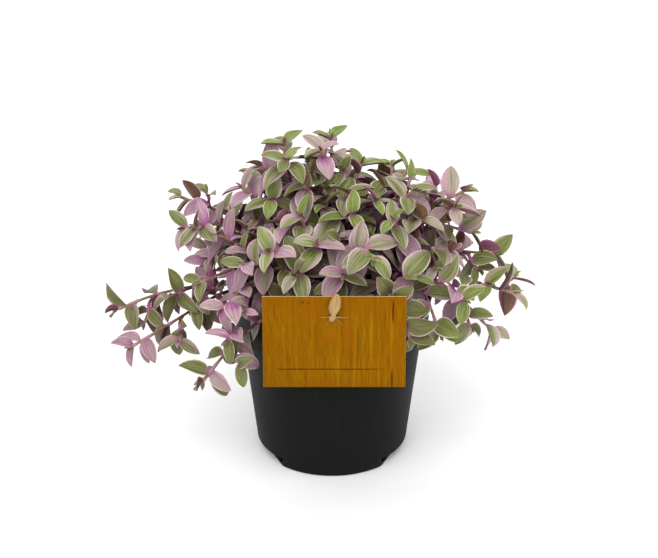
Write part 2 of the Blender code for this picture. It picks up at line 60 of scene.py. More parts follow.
# ---- Studio floor, light and camera ----
# A wide matt sheet of pale paper lies under the pot. A large soft lamp stands over the front, three
# weaker ones fill from the right and from behind, and the white room around gives the rest.
class Signal:
    """A node's output. Each plain sign between signals and values adds one node to its tree."""

    def __init__(self, socket):
        self.socket = socket
        self.tree = socket.id_data
        self.is_vector = socket.type == "VECTOR"

    def __add__(self, other):
        return step("ADD", self, other)

    def __sub__(self, other):
        return step("SUBTRACT", self, other)

    def __rsub__(self, other):
        return step("SUBTRACT", other, self)

    def __mul__(self, other):
        if self.is_vector and not is_vector(other):
            return signal("ShaderNodeVectorMath", {0: self, 3: other}, operation="SCALE")
        return step("MULTIPLY", self, other)

    def __abs__(self):
        return step("ABSOLUTE", self)


def is_vector(feed):
    return isinstance(feed, tuple) or getattr(feed, "is_vector", False)


def plug(socket, feed):
    """Gives a socket a value or a signal."""
    if isinstance(feed, Signal):
        feed.tree.links.new(feed.socket, socket)
    else:
        socket.default_value = feed


def node(tree, kind, feeds=(), **settings):
    """One node, with its inputs fed in their order, or by {index: feed}."""
    made = tree.nodes.new(kind)
    for name, value in settings.items():
        setattr(made, name, value)
    for index, feed in (feeds.items() if isinstance(feeds, dict) else enumerate(feeds)):
        plug(made.inputs[index], feed)
    return made


def source(tree, kind, output=0, feeds=(), **settings):
    """The output of a node that no signal feeds."""
    return Signal(node(tree, kind, feeds, **settings).outputs[output])


def signal(kind, feeds, output=0, **settings):
    """The output of a node in the tree of the signals that feed it."""
    fed = feeds.values() if isinstance(feeds, dict) else feeds
    tree = next(feed.tree for feed in fed if isinstance(feed, Signal))
    return source(tree, kind, output, feeds, **settings)


def step(operation, *feeds):
    """The result of one arithmetic step, on numbers or on vectors."""
    kind = "ShaderNodeVectorMath" if any(map(is_vector, feeds)) else "ShaderNodeMath"
    return signal(kind, feeds, operation=operation)


def blend(share, low, high):
    """Two colours mixed by a share."""
    return signal("ShaderNodeMix", {0: share, 6: low, 7: high}, 2, data_type="RGBA")


def grain(place, size, detail=2.0, rough=0.5):
    """Soft noise from 0 to 1."""
    return signal("ShaderNodeTexNoise", {0: place, 2: size, 3: detail, 4: rough})


def finish(name):
    """A new Principled material and its shader."""
    made = bpy.data.materials.new(name)
    made.use_nodes = True
    return made, made.node_tree.nodes["Principled BSDF"]


def object_place(shader):
    """The place on the piece, in metres from the origin."""
    return source(shader.id_data, "ShaderNodeTexCoord", "Object")


def dress(shader, **feeds):
    """Gives the shader's sockets, by name, their values and signals."""
    for name, feed in feeds.items():
        plug(shader.inputs[name.replace("_", " ")], feed)


def rgb(red, green, blue):
    """A linear colour from screen values of 0 to 255."""
    shares = [v / 255 for v in (red, green, blue)]
    return (*[s / 12.92 if s < 0.04045 else ((s + 0.055) / 1.055) ** 2.4 for s in shares], 1.0)


def as_object(name, bm, *surfaces):
    """A bmesh made into an object at the origin, in smooth shading."""
    mesh = bpy.data.meshes.new(name)
    bm.to_mesh(mesh)
    bm.free()
    for surface in surfaces:
        mesh.materials.append(surface)
    mesh.shade_smooth()
    thing = bpy.data.objects.new(name, mesh)
    bpy.context.scene.collection.objects.link(thing)
    return thing


FLOOR_HALF = 4.0
FLOOR_DROP = 0.0002
ROOM_STRENGTH = 0.44
LAMPS = (
    # heading and height in degrees, strength, softness in degrees
    (-103, 52, 2.04, 50),
    (-30, 32, 0.80, 60),
    (75, 42, 1.05, 60),
    (145, 42, 0.95, 60),
)
CAMERA_TARGET = Vector((-0.0019, 0.0, 0.1138))
CAMERA_LIFT = math.radians(25.5)
CAMERA_DISTANCE = 1.0
CAMERA_FOCUS_PIXELS = 1613
FRAME_WIDTH_PIXELS = 658
SENSOR_WIDTH = 36.0

paper, shader = finish("studio_paper")
spot = object_place(shader)
dress(shader, Base_Color=blend(grain(spot, 4.0), rgb(243, 243, 243), rgb(247, 247, 247)),
      Roughness=0.9, Specular_IOR_Level=0.1)
bm = bmesh.new()
bm.faces.new([bm.verts.new((x * FLOOR_HALF, y * FLOOR_HALF, -FLOOR_DROP))
              for x, y in ((-1, -1), (1, -1), (1, 1), (-1, 1))])
floor = as_object("floor", bm, paper)
floor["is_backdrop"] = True

room = bpy.data.worlds.new("room")
bpy.context.scene.world = room
room.use_nodes = True
dress(room.node_tree.nodes["Background"], Color=(1.0, 1.0, 1.0, 1.0), Strength=ROOM_STRENGTH)
bpy.context.scene.view_settings.view_transform = "Standard"
for heading, height, strength, softness in LAMPS:
    lamp = bpy.data.lights.new("lamp", "SUN")
    lamp.energy = strength
    lamp.angle = math.radians(softness)
    stand = bpy.data.objects.new("lamp", lamp)
    turn, level = math.radians(heading), math.radians(height)
    towards = Vector((math.cos(turn) * math.cos(level), math.sin(turn) * math.cos(level), math.sin(level)))
    stand.rotation_euler = towards.to_track_quat("Z", "Y").to_euler()
    bpy.context.scene.collection.objects.link(stand)

lens = bpy.data.cameras.new("camera")
lens.sensor_width = SENSOR_WIDTH
lens.lens = CAMERA_FOCUS_PIXELS * SENSOR_WIDTH / FRAME_WIDTH_PIXELS
lens.clip_start = 0.01
camera = bpy.data.objects.new("camera", lens)
back = Vector((0.0, -math.cos(CAMERA_LIFT), math.sin(CAMERA_LIFT)))
camera.matrix_world = (Matrix.Translation(CAMERA_TARGET + back * CAMERA_DISTANCE)
                       @ Matrix.Rotation(math.pi / 2 - CAMERA_LIFT, 4, "X"))
bpy.context.scene.collection.objects.link(camera)
bpy.context.scene.camera = camera


# ---- Nursery pot ----
# A thin black polypropylene pot, injection moulded: a tapered wall, a stepped collar with a
# rolled lip, and four flats pressed into the foot. It stands on its own floor and holds the soil.
POT_SIDES = 144
POT_BASE = 0.0474
POT_TAPER = 0.1135
POT_WALL = 0.0012
POT_FLOOR = 0.0016
COLLAR_Z = 0.084
COLLAR_RADIUS = 0.0603
LIP_RADIUS = 0.0622
POT_HEIGHT = 0.108
FLAT_DISTANCE = 0.0426
FLAT_HEIGHT = 0.006
FLAT_BEARINGS = (-126, -66, 66, 126)
FLAT_CUTTER = (0.02, 0.07)
DRAIN_RADIUS = 0.004
DRAIN_CIRCLE = 0.029
DRAIN_COUNT = 8
CREASE = math.radians(32)


def spread(value, low, high, start=0.0, end=1.0, kind="SMOOTHSTEP"):
    """A value moved from one range to another, without leaving it."""
    return signal("ShaderNodeMapRange", (value, low, high, start, end), interpolation_type=kind)


def relief(height, strength, distance):
    """A normal raised by a height."""
    return signal("ShaderNodeBump", {0: strength, 1: distance, 3: height})


def outer_radius(z):
    return POT_BASE + POT_TAPER * z


def turned(profile, sides):
    """A closed body turned about Z from (radius, height) points; both ends lie on the axis."""
    bm = bmesh.new()
    rings = []
    for radius, height in profile:
        turns = [math.tau * i / sides for i in range(sides if radius else 1)]
        rings.append([bm.verts.new((radius * math.cos(turn), radius * math.sin(turn), height))
                      for turn in turns])
    for low, high in zip(rings, rings[1:]):
        for i in range(sides):
            j = (i + 1) % sides
            quad = [low[i % len(low)], low[j % len(low)], high[j % len(high)], high[i % len(high)]]
            corners = list(dict.fromkeys(quad))
            if len(corners) > 2:
                bm.faces.new(corners)
    bmesh.ops.recalc_face_normals(bm, faces=bm.faces)
    return bm


def add_block(bm, size, place):
    """Adds a block of a size, laid by a matrix."""
    made = bmesh.ops.create_cube(bm, size=1)
    bmesh.ops.scale(bm, vec=size, verts=made["verts"])
    bmesh.ops.transform(bm, matrix=place, verts=made["verts"])


def add_pin(bm, radius, length, sides, place):
    """Adds a round pin, laid by a matrix."""
    bmesh.ops.create_cone(bm, cap_ends=True, segments=sides, radius1=radius, radius2=radius,
                          depth=length, matrix=place)


def evaluated(thing):
    """Makes the object's modifiers part of its mesh."""
    graph = bpy.context.evaluated_depsgraph_get()
    made = bpy.data.meshes.new_from_object(thing.evaluated_get(graph))
    old = thing.data
    thing.modifiers.clear()
    thing.data = made
    made.name = thing.name
    bpy.data.meshes.remove(old)


def carve(target, cutter):
    """Cuts the cutter out of the target and removes the cutter."""
    cut = target.modifiers.new("cut", "BOOLEAN")
    cut.operation = "DIFFERENCE"
    cut.solver = "EXACT"
    cut.object = cutter
    evaluated(target)
    bpy.data.objects.remove(cutter)


plastic, shader = finish("black_plastic")
spot = object_place(shader)
cloud = grain(spot, 26.0, 4.0, 0.6)
scuff = spread(grain(spot * (1.0, 1.0, 0.14), 420.0, 3.0), 0.60, 0.78)
speck = spread(signal("ShaderNodeTexVoronoi", {0: spot, 2: 90.0}, "Distance"), 0.035, 0.06, 1.0, 0.0)
dust = speck * spread(grain(spot, 31.0, 0.0), 0.60, 0.66)
colour = blend(cloud, rgb(14, 16, 15), rgb(20, 22, 20))
colour = blend(scuff * 0.20, colour, rgb(46, 48, 45))
colour = blend(dust * 0.75, colour, rgb(92, 94, 88))
dress(shader, Base_Color=colour, Specular_IOR_Level=0.08,
      Roughness=spread(cloud, 0.25, 0.75, 0.50, 0.66, "LINEAR"),
      Normal=relief(grain(spot, 1500.0) + scuff, 0.10, 0.0002))

ledge = COLLAR_Z + 0.0014
collar_inside = COLLAR_RADIUS - POT_WALL
profile = (
    # foot and wall
    (0, 0), (POT_BASE - 0.0040, 0), (POT_BASE - 0.0009, 0), (POT_BASE - 0.0003, 0.0003),
    *[(outer_radius(z), z) for z in (0.0009, FLAT_HEIGHT + 0.0006, 0.03, 0.06, COLLAR_Z - 0.0006, COLLAR_Z)],
    # collar
    (COLLAR_RADIUS - 0.0006, COLLAR_Z + 0.0005), (COLLAR_RADIUS, COLLAR_Z + 0.0010),
    (COLLAR_RADIUS + 0.0004, POT_HEIGHT - 0.014), (COLLAR_RADIUS + 0.0008, POT_HEIGHT - 0.0048),
    # rolled lip
    (COLLAR_RADIUS + 0.0012, POT_HEIGHT - 0.0042), (LIP_RADIUS - 0.0003, POT_HEIGHT - 0.0038),
    (LIP_RADIUS, POT_HEIGHT - 0.0034), (LIP_RADIUS, POT_HEIGHT - 0.0010),
    (LIP_RADIUS - 0.0002, POT_HEIGHT - 0.0004), (LIP_RADIUS - 0.0007, POT_HEIGHT),
    (COLLAR_RADIUS - 0.0002, POT_HEIGHT), (COLLAR_RADIUS - 0.0007, POT_HEIGHT - 0.0005),
    # inside
    (COLLAR_RADIUS - 0.0009, POT_HEIGHT - 0.0012), (collar_inside - 0.0002, ledge + 0.0012),
    (collar_inside - 0.0010, ledge + 0.0004), (outer_radius(COLLAR_Z) - POT_WALL, ledge),
    (outer_radius(POT_FLOOR) - POT_WALL, POT_FLOOR), (0, POT_FLOOR),
)
pot = as_object("pot_turned", turned(profile, POT_SIDES), plastic)
cuts = bmesh.new()
for bearing in FLAT_BEARINGS:
    across, along = FLAT_CUTTER
    add_block(cuts, (across, along, FLAT_HEIGHT + 0.001),
              Matrix.Rotation(math.radians(bearing - 90), 4, "Z")
              @ Matrix.Translation((FLAT_DISTANCE + across / 2, 0, FLAT_HEIGHT / 2 - 0.0005)))
carve(pot, as_object("pot_cut", cuts))
drains = bmesh.new()
for i in range(DRAIN_COUNT):
    angle = math.tau * (i + 0.5) / DRAIN_COUNT
    place = (DRAIN_CIRCLE * math.cos(angle), DRAIN_CIRCLE * math.sin(angle), POT_FLOOR / 2)
    add_pin(drains, DRAIN_RADIUS, 0.006, 24, Matrix.Translation(place))
carve(pot, as_object("pot_drains", drains))
pot.data.shade_smooth()
pot.data.set_sharp_from_angle(angle=CREASE)
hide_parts("pot")
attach(pot, "root")


# ---- Potting soil ----
# Dark peat with fine bark, filled to a finger's width under the rim and settled unevenly. Loose
# crumbs and bits of bark lie on top, and every stem stands in it.
SOIL_TOP = 0.094
SOIL_GAP = 0.0004
SOIL_SIDES = 72
SOIL_ROUGHNESS = 0.0011
SOIL_RINGS = (0.0586, 0.054, 0.049, 0.044, 0.038, 0.032, 0.026, 0.020, 0.014, 0.008)
SOIL_EDGE = 0.004
CRUMB_GAP = 0.0021
CRUMB_SIZE = 0.0011
CRUMB_SIZES = (0.35, 1.25)
CRUMB_DENSITY = 400000.0
CRUMB_SEED = 5


def soil_height(x, y):
    """The soil's uneven top surface."""
    ripple = math.sin(210 * x + 1.3) * math.cos(170 * y - 0.4) + 0.6 * math.sin(330 * (x + y))
    return SOIL_TOP + SOIL_ROUGHNESS * ripple


def split(vector):
    """A vector's three numbers."""
    return [Signal(socket) for socket in node(vector.tree, "ShaderNodeSeparateXYZ", [vector]).outputs]


def together(*pieces):
    """Geometry joined into one."""
    made = node(pieces[0].tree, "GeometryNodeJoinGeometry")
    for piece in pieces:
        plug(made.inputs[0], piece)
    return Signal(made.outputs[0])


def node_group(name, kind, inputs, outputs):
    """A new node group with named sockets of the given kinds, and its inputs as signals."""
    group = bpy.data.node_groups.new(name, kind)
    for way, sockets in (("INPUT", inputs), ("OUTPUT", outputs)):
        for label, sort in sockets.items():
            group.interface.new_socket(name=label, in_out=way, socket_type="NodeSocket" + sort)
    return group, {s.name: Signal(s) for s in node(group, "NodeGroupInput").outputs if s.name}


def follow_rule(thing, group, **inputs):
    """Runs a Geometry Nodes group on a piece and makes the result its mesh."""
    rule = thing.modifiers.new(group.name, "NODES")
    rule.node_group = group
    for socket in group.interface.items_tree:
        if socket.name in inputs:
            rule[socket.identifier] = inputs[socket.name]
    evaluated(thing)


peat, shader = finish("peat")
spot = object_place(shader)
lumps = grain(spot, 340.0, 5.0, 0.65)
bark = spread(grain(spot, 150.0), 0.55, 0.66)
colour = blend(lumps, rgb(24, 16, 12), rgb(58, 41, 29))
dress(shader, Base_Color=blend(bark * 0.5, colour, rgb(84, 60, 40)), Specular_IOR_Level=0.2,
      Roughness=spread(lumps, 0.3, 0.7, 0.85, 0.98, "LINEAR"), Normal=relief(lumps, 0.7, 0.0008))

foot = POT_FLOOR + 0.0003
profile = [(0, foot), (0.0402, foot), (0.0402, FLAT_HEIGHT + 0.0016),
           (outer_radius(FLAT_HEIGHT + 0.002) - POT_WALL - SOIL_GAP, FLAT_HEIGHT + 0.0020),
           (outer_radius(COLLAR_Z) - POT_WALL - SOIL_GAP, ledge + 0.0004),
           (collar_inside - 0.0006, ledge + 0.0015)]
profile += [(radius, SOIL_TOP) for radius in SOIL_RINGS] + [(0, SOIL_TOP)]
bm = turned(profile, SOIL_SIDES)
for v in bm.verts:
    if v.co.z > SOIL_TOP - 0.0001:
        inside = min(1.0, (SOIL_RINGS[0] - v.co.xy.length) / SOIL_EDGE)
        v.co.z += (soil_height(v.co.x, v.co.y) - SOIL_TOP) * inside
soil = as_object("soil_fill", bm, peat)
soil.data.set_sharp_from_angle(angle=math.radians(50))

bm = bmesh.new()
bmesh.ops.create_icosphere(bm, subdivisions=1, radius=1.0)
chance = random.Random(CRUMB_SEED)
for v in bm.verts:
    v.co *= chance.uniform(0.75, 1.15)
    v.co.z *= 0.7
crumb = as_object("crumb", bm, peat)

crumbs, given = node_group("soil_crumbs", "GeometryNodeTree", {
    "Soil": "Geometry", "Crumb": "Object", "Gap": "Float", "Size": "Float", "Above": "Float",
    "Surface": "Material"}, {"Geometry": "Geometry"})
height = split(source(crumbs, "GeometryNodeInputPosition"))[2]
on_top = signal("FunctionNodeCompare", (height, given["Above"]), data_type="FLOAT",
                operation="GREATER_THAN")
strewn = signal("GeometryNodeDistributePointsOnFaces",
                {0: given["Soil"], 1: on_top, 2: given["Gap"], 3: CRUMB_DENSITY, 6: CRUMB_SEED},
                distribute_method="POISSON")
swirl = source(crumbs, "FunctionNodeRandomValue", 0, {0: (0, 0, 0), 1: (6.28, 6.28, 6.28), 8: CRUMB_SEED},
               data_type="FLOAT_VECTOR")
size = source(crumbs, "FunctionNodeRandomValue", 1,
              {2: CRUMB_SIZES[0], 3: CRUMB_SIZES[1], 8: CRUMB_SEED + 1}, data_type="FLOAT") * given["Size"]
strewn = signal("GeometryNodeInstanceOnPoints",
                {0: strewn, 2: signal("GeometryNodeObjectInfo", [given["Crumb"]], "Geometry"), 5: swirl,
                 6: signal("ShaderNodeCombineXYZ", (size, size, size))})
both = together(signal("GeometryNodeRealizeInstances", [strewn]), given["Soil"])
node(crumbs, "NodeGroupOutput", [signal("GeometryNodeSetMaterial", {0: both, 2: given["Surface"]})])
follow_rule(soil, crumbs, Crumb=crumb, Gap=CRUMB_GAP, Size=CRUMB_SIZE, Above=SOIL_TOP - 0.003, Surface=peat)
bpy.data.objects.remove(crumb)
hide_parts("soil")
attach(soil, "root")


# ---- Plant card ----
# A stiff cut card, printed on its front as amber wood with one thin dark rule, bare elsewhere.
# Its pale core shows along the cut edges. It leans on the pot's lip, held by the tie.
CARD_WIDTH = 0.0842
CARD_HEIGHT = 0.0575
CARD_THICKNESS = 0.0009
CARD_ROUND = 0.00015
CARD_TOP = 0.1316
CARD_LEAN = math.radians(5.2)
CARD_OFFSET = 0.0012
CARD_GAP = 0.0003
CARD_EASE = 0.00005
CARD_HOLES = (-0.0027, 0.0023)
HOLE_DROP = 0.0125
HOLE_RADIUS = 0.0009
# Dark streaks in the print, in mm from the lower left corner: middle, width, strength, from, to
DARK_STREAKS = (
    (76.4, 0.80, 1.00, 39.0, 57.0), (76.2, 0.80, 0.95, -3.0, 13.0), (56.2, 0.42, 0.62, 12.0, 41.0),
    (72.0, 0.34, 0.45, 34.0, 50.0), (14.3, 0.50, 0.42, 3.0, 26.0), (7.2, 0.7, 0.36, 42.0, 57.0),
    (32.6, 0.30, 0.30, 24.0, 52.0), (66.4, 0.26, 0.30, 2.0, 30.0),
)
# Small knots: place and size in mm
KNOTS = (
    (23.5, 54.0, 1.5), (27.0, 53.4, 0.9), (13.8, 38.2, 0.8), (46.4, 34.6, 0.7), (40.0, 30.0, 0.5),
    (11.9, 22.6, 0.7), (35.0, 21.0, 0.6), (62.0, 19.5, 0.6),
)
RULE_HEIGHT = 11.6
STREAK_FADE = 6.0

drop = (CARD_TOP - POT_HEIGHT + 0.0008) * math.tan(CARD_LEAN)
stand_off = -LIP_RADIUS - CARD_GAP / math.cos(CARD_LEAN) - CARD_EASE + drop
card_place = Matrix.Translation((CARD_OFFSET, stand_off, CARD_TOP)) @ Matrix.Rotation(-CARD_LEAN, 4, "X")

print_face, shader = finish("printed_wood")
sheet = source(shader.id_data, "ShaderNodeUVMap", uv_map="print")
mm = sheet * (CARD_WIDTH * 1000, CARD_HEIGHT * 1000, 0.0)
across, up = split(mm)[:2]
fine = grain(mm * (3.2, 0.10, 1.0), 1.0, 3.0, 0.6)
broad = grain(mm * (0.42, 0.018, 1.0), 1.0)
patch = grain(mm * (0.045, 0.05, 1.0), 1.0)
pore = spread(grain(mm * (2.2, 0.22, 1.0), 1.0), 0.66, 0.74)
wobble = grain(mm * (0.0, 0.10, 1.0), 1.0) - 0.5
golden = spread(broad, 0.50, 0.68) * spread(across, 28.0, 60.0, 0.32, 0.72)
colour = blend(spread(fine, 0.3, 0.7), rgb(116, 72, 0), rgb(148, 100, 2))
for share, tone in ((golden, rgb(158, 110, 8)),
                    (spread(broad, 0.46, 0.28, 0.0, 0.6), rgb(112, 64, 1)),
                    (spread(patch, 0.46, 0.62, 0.0, 0.40), rgb(144, 82, 2)),
                    (spread(up, 40.0, 57.0, 0.0, 0.45), rgb(134, 76, 3)),
                    (spread(up, 9.0, -3.0, 0.0, 0.35), rgb(120, 72, 4)),
                    (pore * 0.40, rgb(84, 46, 5))):
    colour = blend(share, colour, tone)
for middle, width, strength, low, high in DARK_STREAKS:
    streak = spread(abs(across + wobble - middle), width, width * 0.25)
    reach = spread(up, low, low + STREAK_FADE) * spread(up, high, high - STREAK_FADE)
    streak = streak * reach * spread(pore, 0.0, 1.0, strength * 0.82, strength)
    colour = blend(streak, colour, rgb(48, 26, 6))
for x, y, size in KNOTS:
    off = signal("ShaderNodeVectorMath", (mm, (x, y, 0.0)), "Value", operation="DISTANCE")
    knot = spread(off, size, size * 0.3) * spread(fine, 0.35, 0.6, 0.25, 0.7)
    colour = blend(knot, colour, rgb(64, 35, 5))
rule_fade = spread(across, 7.2, 10.0) * spread(across, 76.0, 60.0)
rule_mask = spread(abs(up - RULE_HEIGHT), 0.36, 0.16) * rule_fade
dress(shader, Base_Color=blend(rule_mask * 0.95, colour, rgb(44, 20, 8)), Specular_IOR_Level=0.02,
      Roughness=spread(fine, 0.3, 0.7, 0.42, 0.52, "LINEAR"), Normal=relief(fine, 0.06, 0.0001))

core, shader = finish("card_core")
spot = object_place(shader)
fibre = grain(spot, 900.0, 3.0, 0.6)
dress(shader, Base_Color=blend(fibre, rgb(206, 178, 120), rgb(232, 212, 166)), Specular_IOR_Level=0.2,
      Roughness=spread(fibre, 0.3, 0.7, 0.8, 0.92, "LINEAR"), Normal=relief(fibre, 0.2, 0.0001))

bm = bmesh.new()
add_block(bm, (CARD_WIDTH, CARD_THICKNESS, CARD_HEIGHT),
          Matrix.Translation((0, -CARD_THICKNESS / 2, -CARD_HEIGHT / 2)))
bmesh.ops.bevel(bm, geom=bm.edges[:], offset=CARD_ROUND, segments=2, affect="EDGES", profile=0.5)
card = as_object("plant_card", bm, print_face, core)
holes = bmesh.new()
for x in CARD_HOLES:
    place = Matrix.Translation((x, 0, -HOLE_DROP)) @ Matrix.Rotation(math.radians(90), 4, "X")
    add_pin(holes, HOLE_RADIUS, 0.004, 20, place)
carve(card, as_object("card_holes", holes))
sheet = card.data.uv_layers.new(name="print")
for face in card.data.polygons:
    face.material_index = 0 if face.normal.y < -0.6 else 1
    for corner in face.loop_indices:
        at = card.data.vertices[card.data.loops[corner].vertex_index].co
        sheet.data[corner].uv = (at.x / CARD_WIDTH + 0.5, at.z / CARD_HEIGHT + 1.0)
card.data.transform(card_place)
card.data.shade_smooth()
card.data.set_sharp_from_angle(angle=math.radians(35))
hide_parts("card")
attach(card, "root")


# ---- Raffia tie ----
# A strip of dried palm raffia, folded into a flat loop over the card's top edge, pushed through
# the two punched holes and knotted, with one thin end and a few split fibres left free.

# Each run of the strip: name, way it lies flat, thickness and cup, steps and lanes, and its course
# in mm: across, in front of the card, above its top edge, and half its width there
RAFFIA_RUNS = (
    ("loop", "across", 0.0004, 0.12, 32, 6, (
        (-1.2, 0.5, -15.6, 0.6), (-1.3, 1.2, -14.2, 1.9), (-0.7, 1.5, -12.8, 2.1), (-0.4, 1.7, -11.2, 1.6),
        (0.0, 2.3, -8.4, 2.9), (0.4, 2.6, -5.4, 3.8), (1.0, 2.4, -2.0, 3.4), (1.5, 1.8, 0.8, 2.2),
        (1.7, 1.2, 2.2, 0.6))),
    ("loop_back", "across", 0.0003, -0.10, 20, 6, (
        (0.0, 0.5, -12.4, 0.9), (0.1, 0.7, -9.4, 2.0), (0.5, 0.9, -5.6, 3.2), (1.2, 1.1, -1.8, 2.9),
        (1.7, 1.2, 1.9, 0.7))),
    ("knot", "up", 0.0006, 0.25, 16, 6, (
        (-2.7, 0.3, -12.7, 0.4), (-1.4, 0.7, -13.0, 0.6), (0.0, 0.9, -13.1, 0.9), (1.3, 0.7, -12.9, 0.6),
        (2.5, 0.3, -12.6, 0.4))),
    ("end", "up", 0.0003, 0.2, 16, 4, (
        (0.2, 1.0, -12.4, 0.4), (3.0, 1.2, -12.5, 0.24), (5.6, 1.0, -12.7, 0.2), (8.6, 0.7, -12.4, 0.15))),
    ("back_strand", "up", 0.0004, 0.1, 10, 4, (
        (-3.1, -2.0, -12.5, 0.8), (0.0, -2.15, -12.5, 0.9), (3.1, -2.0, -12.5, 0.8))),
    *[("through", "across", 0.0009, 0.1, 6, 4, (
        (x, 0.9, -12.5, 0.6), (x, -0.5, -12.5, 0.65), (x, -2.1, -12.5, 0.6))) for x in (-2.5, 2.5)],
    *[("split_fibre", "up", 0.0002, 0.0, 8, 4, ((*a, 0.14), (*b, 0.13), (*c, 0.12))) for a, b, c in (
        ((-1.2, 0.9, -14.2), (-3.6, 0.8, -16.0), (-5.6, 0.35, -18.8)),
        ((0.3, 0.9, -13.6), (2.6, 0.8, -14.8), (5.2, 0.4, -17.8)),
        ((-0.6, 0.9, -12.9), (-4.6, 0.8, -12.6), (-8.6, 0.5, -13.0)))],
)
RAFFIA_SHIFT = 0.0002
THINNEST_RAFFIA = 0.00015

raffia, shader = finish("raffia")
strip = source(shader.id_data, "ShaderNodeUVMap", uv_map="strip")
thread = grain(strip * (16.0, 1.6, 1.0), 1.0, 3.0, 0.6)
blotch = grain(strip * (1.5, 3.0, 1.0), 1.0)
colour = blend(spread(thread, 0.3, 0.7), rgb(150, 114, 64), rgb(190, 157, 103))
colour = blend(spread(blotch, 0.55, 0.8, 0.0, 0.6), colour, rgb(150, 104, 50))
dress(shader, Base_Color=colour, Specular_IOR_Level=0.3,
      Roughness=spread(thread, 0.3, 0.7, 0.45, 0.65, "LINEAR"), Normal=relief(thread, 0.5, 0.0002))


def smooth_row(rows, place):
    """A value of the smooth curve through the rows, at a place counted in their steps."""
    i = min(int(place), len(rows) - 2)
    t = place - i
    a, b, c, d = rows[max(i - 1, 0)], rows[i], rows[i + 1], rows[min(i + 2, len(rows) - 1)]
    return 0.5 * ((2 * b) + (c - a) * t + (2 * a - 5 * b + 4 * c - d) * t * t
                  + (3 * b - a - 3 * c + d) * t * t * t)


def raffia_run(name, way_flat, thick, cup, steps, lanes, course):
    """A closed strip along its course, cupped across, its UVs running with its fibres."""
    side = (card_place.to_3x3() @ Vector((1, 0, 0) if way_flat == "across" else (0, 0, 1))).normalized()
    points = [card_place @ Vector((x * 0.001 - RAFFIA_SHIFT, -CARD_THICKNESS - forward * 0.001, up * 0.001))
              for x, forward, up, half in course]
    halves = [row[3] * 0.001 for row in course]
    places = [k * (len(points) - 1) / steps for k in range(steps + 1)]
    centres = [smooth_row(points, place) for place in places]
    bm = bmesh.new()
    sheet = bm.loops.layers.uv.new("strip")
    rows = []
    for k, (centre, place) in enumerate(zip(centres, places)):
        half = max(THINNEST_RAFFIA, smooth_row(halves, place))
        out = (centres[min(k + 1, steps)] - centres[max(k - 1, 0)]).cross(side).normalized()
        if out.y > 0:
            out = -out
        row = []
        for way in (1, -1):
            for lane in range(lanes + 1):
                if way < 0 and lane in (0, lanes):
                    continue
                share = (2 * lane / lanes - 1) * way
                wave = math.sin(5.0 * share + 0.8 * k) * 0.06 * half
                lift = cup * half * (1 - share * share) + wave + way * thick / 2 * (1 - share ** 4)
                row.append(bm.verts.new(centre + side * half * share + out * lift))
        rows.append(row)
    count = len(rows[0])
    for k in range(steps):
        for i in range(count):
            j = (i + 1) % count
            made = bm.faces.new((rows[k][i], rows[k][j], rows[k + 1][j], rows[k + 1][i]))
            for loop, (u, v) in zip(made.loops, ((i, k), (i + 1, k), (i + 1, k + 1), (i, k + 1))):
                loop[sheet].uv = (u / count, v / steps)
    bm.faces.new(rows[0])
    bm.faces.new(rows[-1])
    bmesh.ops.recalc_face_normals(bm, faces=bm.faces)
    return as_object(name, bm, raffia)


bm = bmesh.new()
for run in RAFFIA_RUNS:
    strand = raffia_run(*run)
    bm.from_mesh(strand.data)
    bpy.data.objects.remove(strand)
tie = as_object("raffia_bow", bm, raffia)
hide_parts("raffia_tie")
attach(tie, "root")


# ---- Leafy stems ----
# Slim fleshy stems stand in the soil and lean out over the lip. Each leaf clasps its stem with a
# short sheath, and short side shoots end in small heads of leaves, greenest in their middles.
STEM_RADIUS = 0.0011
STEM_TIP_RADIUS = 0.0007
STEM_SINK = 0.0116
STEM_RISE = 0.002
LONG_STEM = 0.068
STEM_INWARD = (0.0, 0.010, 0.020, 0.005, 0.015)
STEM_TRIES = 80
STEM_WANDER = 0.0012
BRANCH_STEPS = 3
BRANCH_TRIES = 60
BRANCH_WANDER = 0.0008
WANDER_GROWTH = 0.7
LEAF_LENGTH = 0.0194
LEAF_WIDTH = 0.0122
LIGHT = Vector((0.0, -0.42, 0.91))
UP = Vector((0.0, 0.0, 1.0))
# How a drooping blade bends back and down along its length, and how far its tip comes in and sinks
BEND_BACK = 0.24
BEND_DOWN = 0.84
TIP_IN = 0.12
TIP_SINK = 0.42
# Leaves from the tip down: how many, the lengths left bare, and their sizes, spreads and steps
LEAVES_PER_STEM = 6
LEAVES_PER_LOW_STEM = 12
LEAVES_PER_BRANCH = 4
BARE_FOOT = 0.012
BARE_FORK = 0.004
BARE_TIP = 0.0008
LEAF_SIZES = (0.80, 0.84, 1.0, 1.0, 1.0, 0.96)
LEAF_SPREADS = (54, 58, 66, 70, 74, 78)
LEAF_STEPS = (0.0014, 0.0048, 0.0020, 0.0086, 0.0060, 0.0100)
PAIR_TURN = math.radians(68)
GROWTH_SEED = 31
# A grown point within this distance of a corner of the part's solid is that corner
MATCH = 0.00006
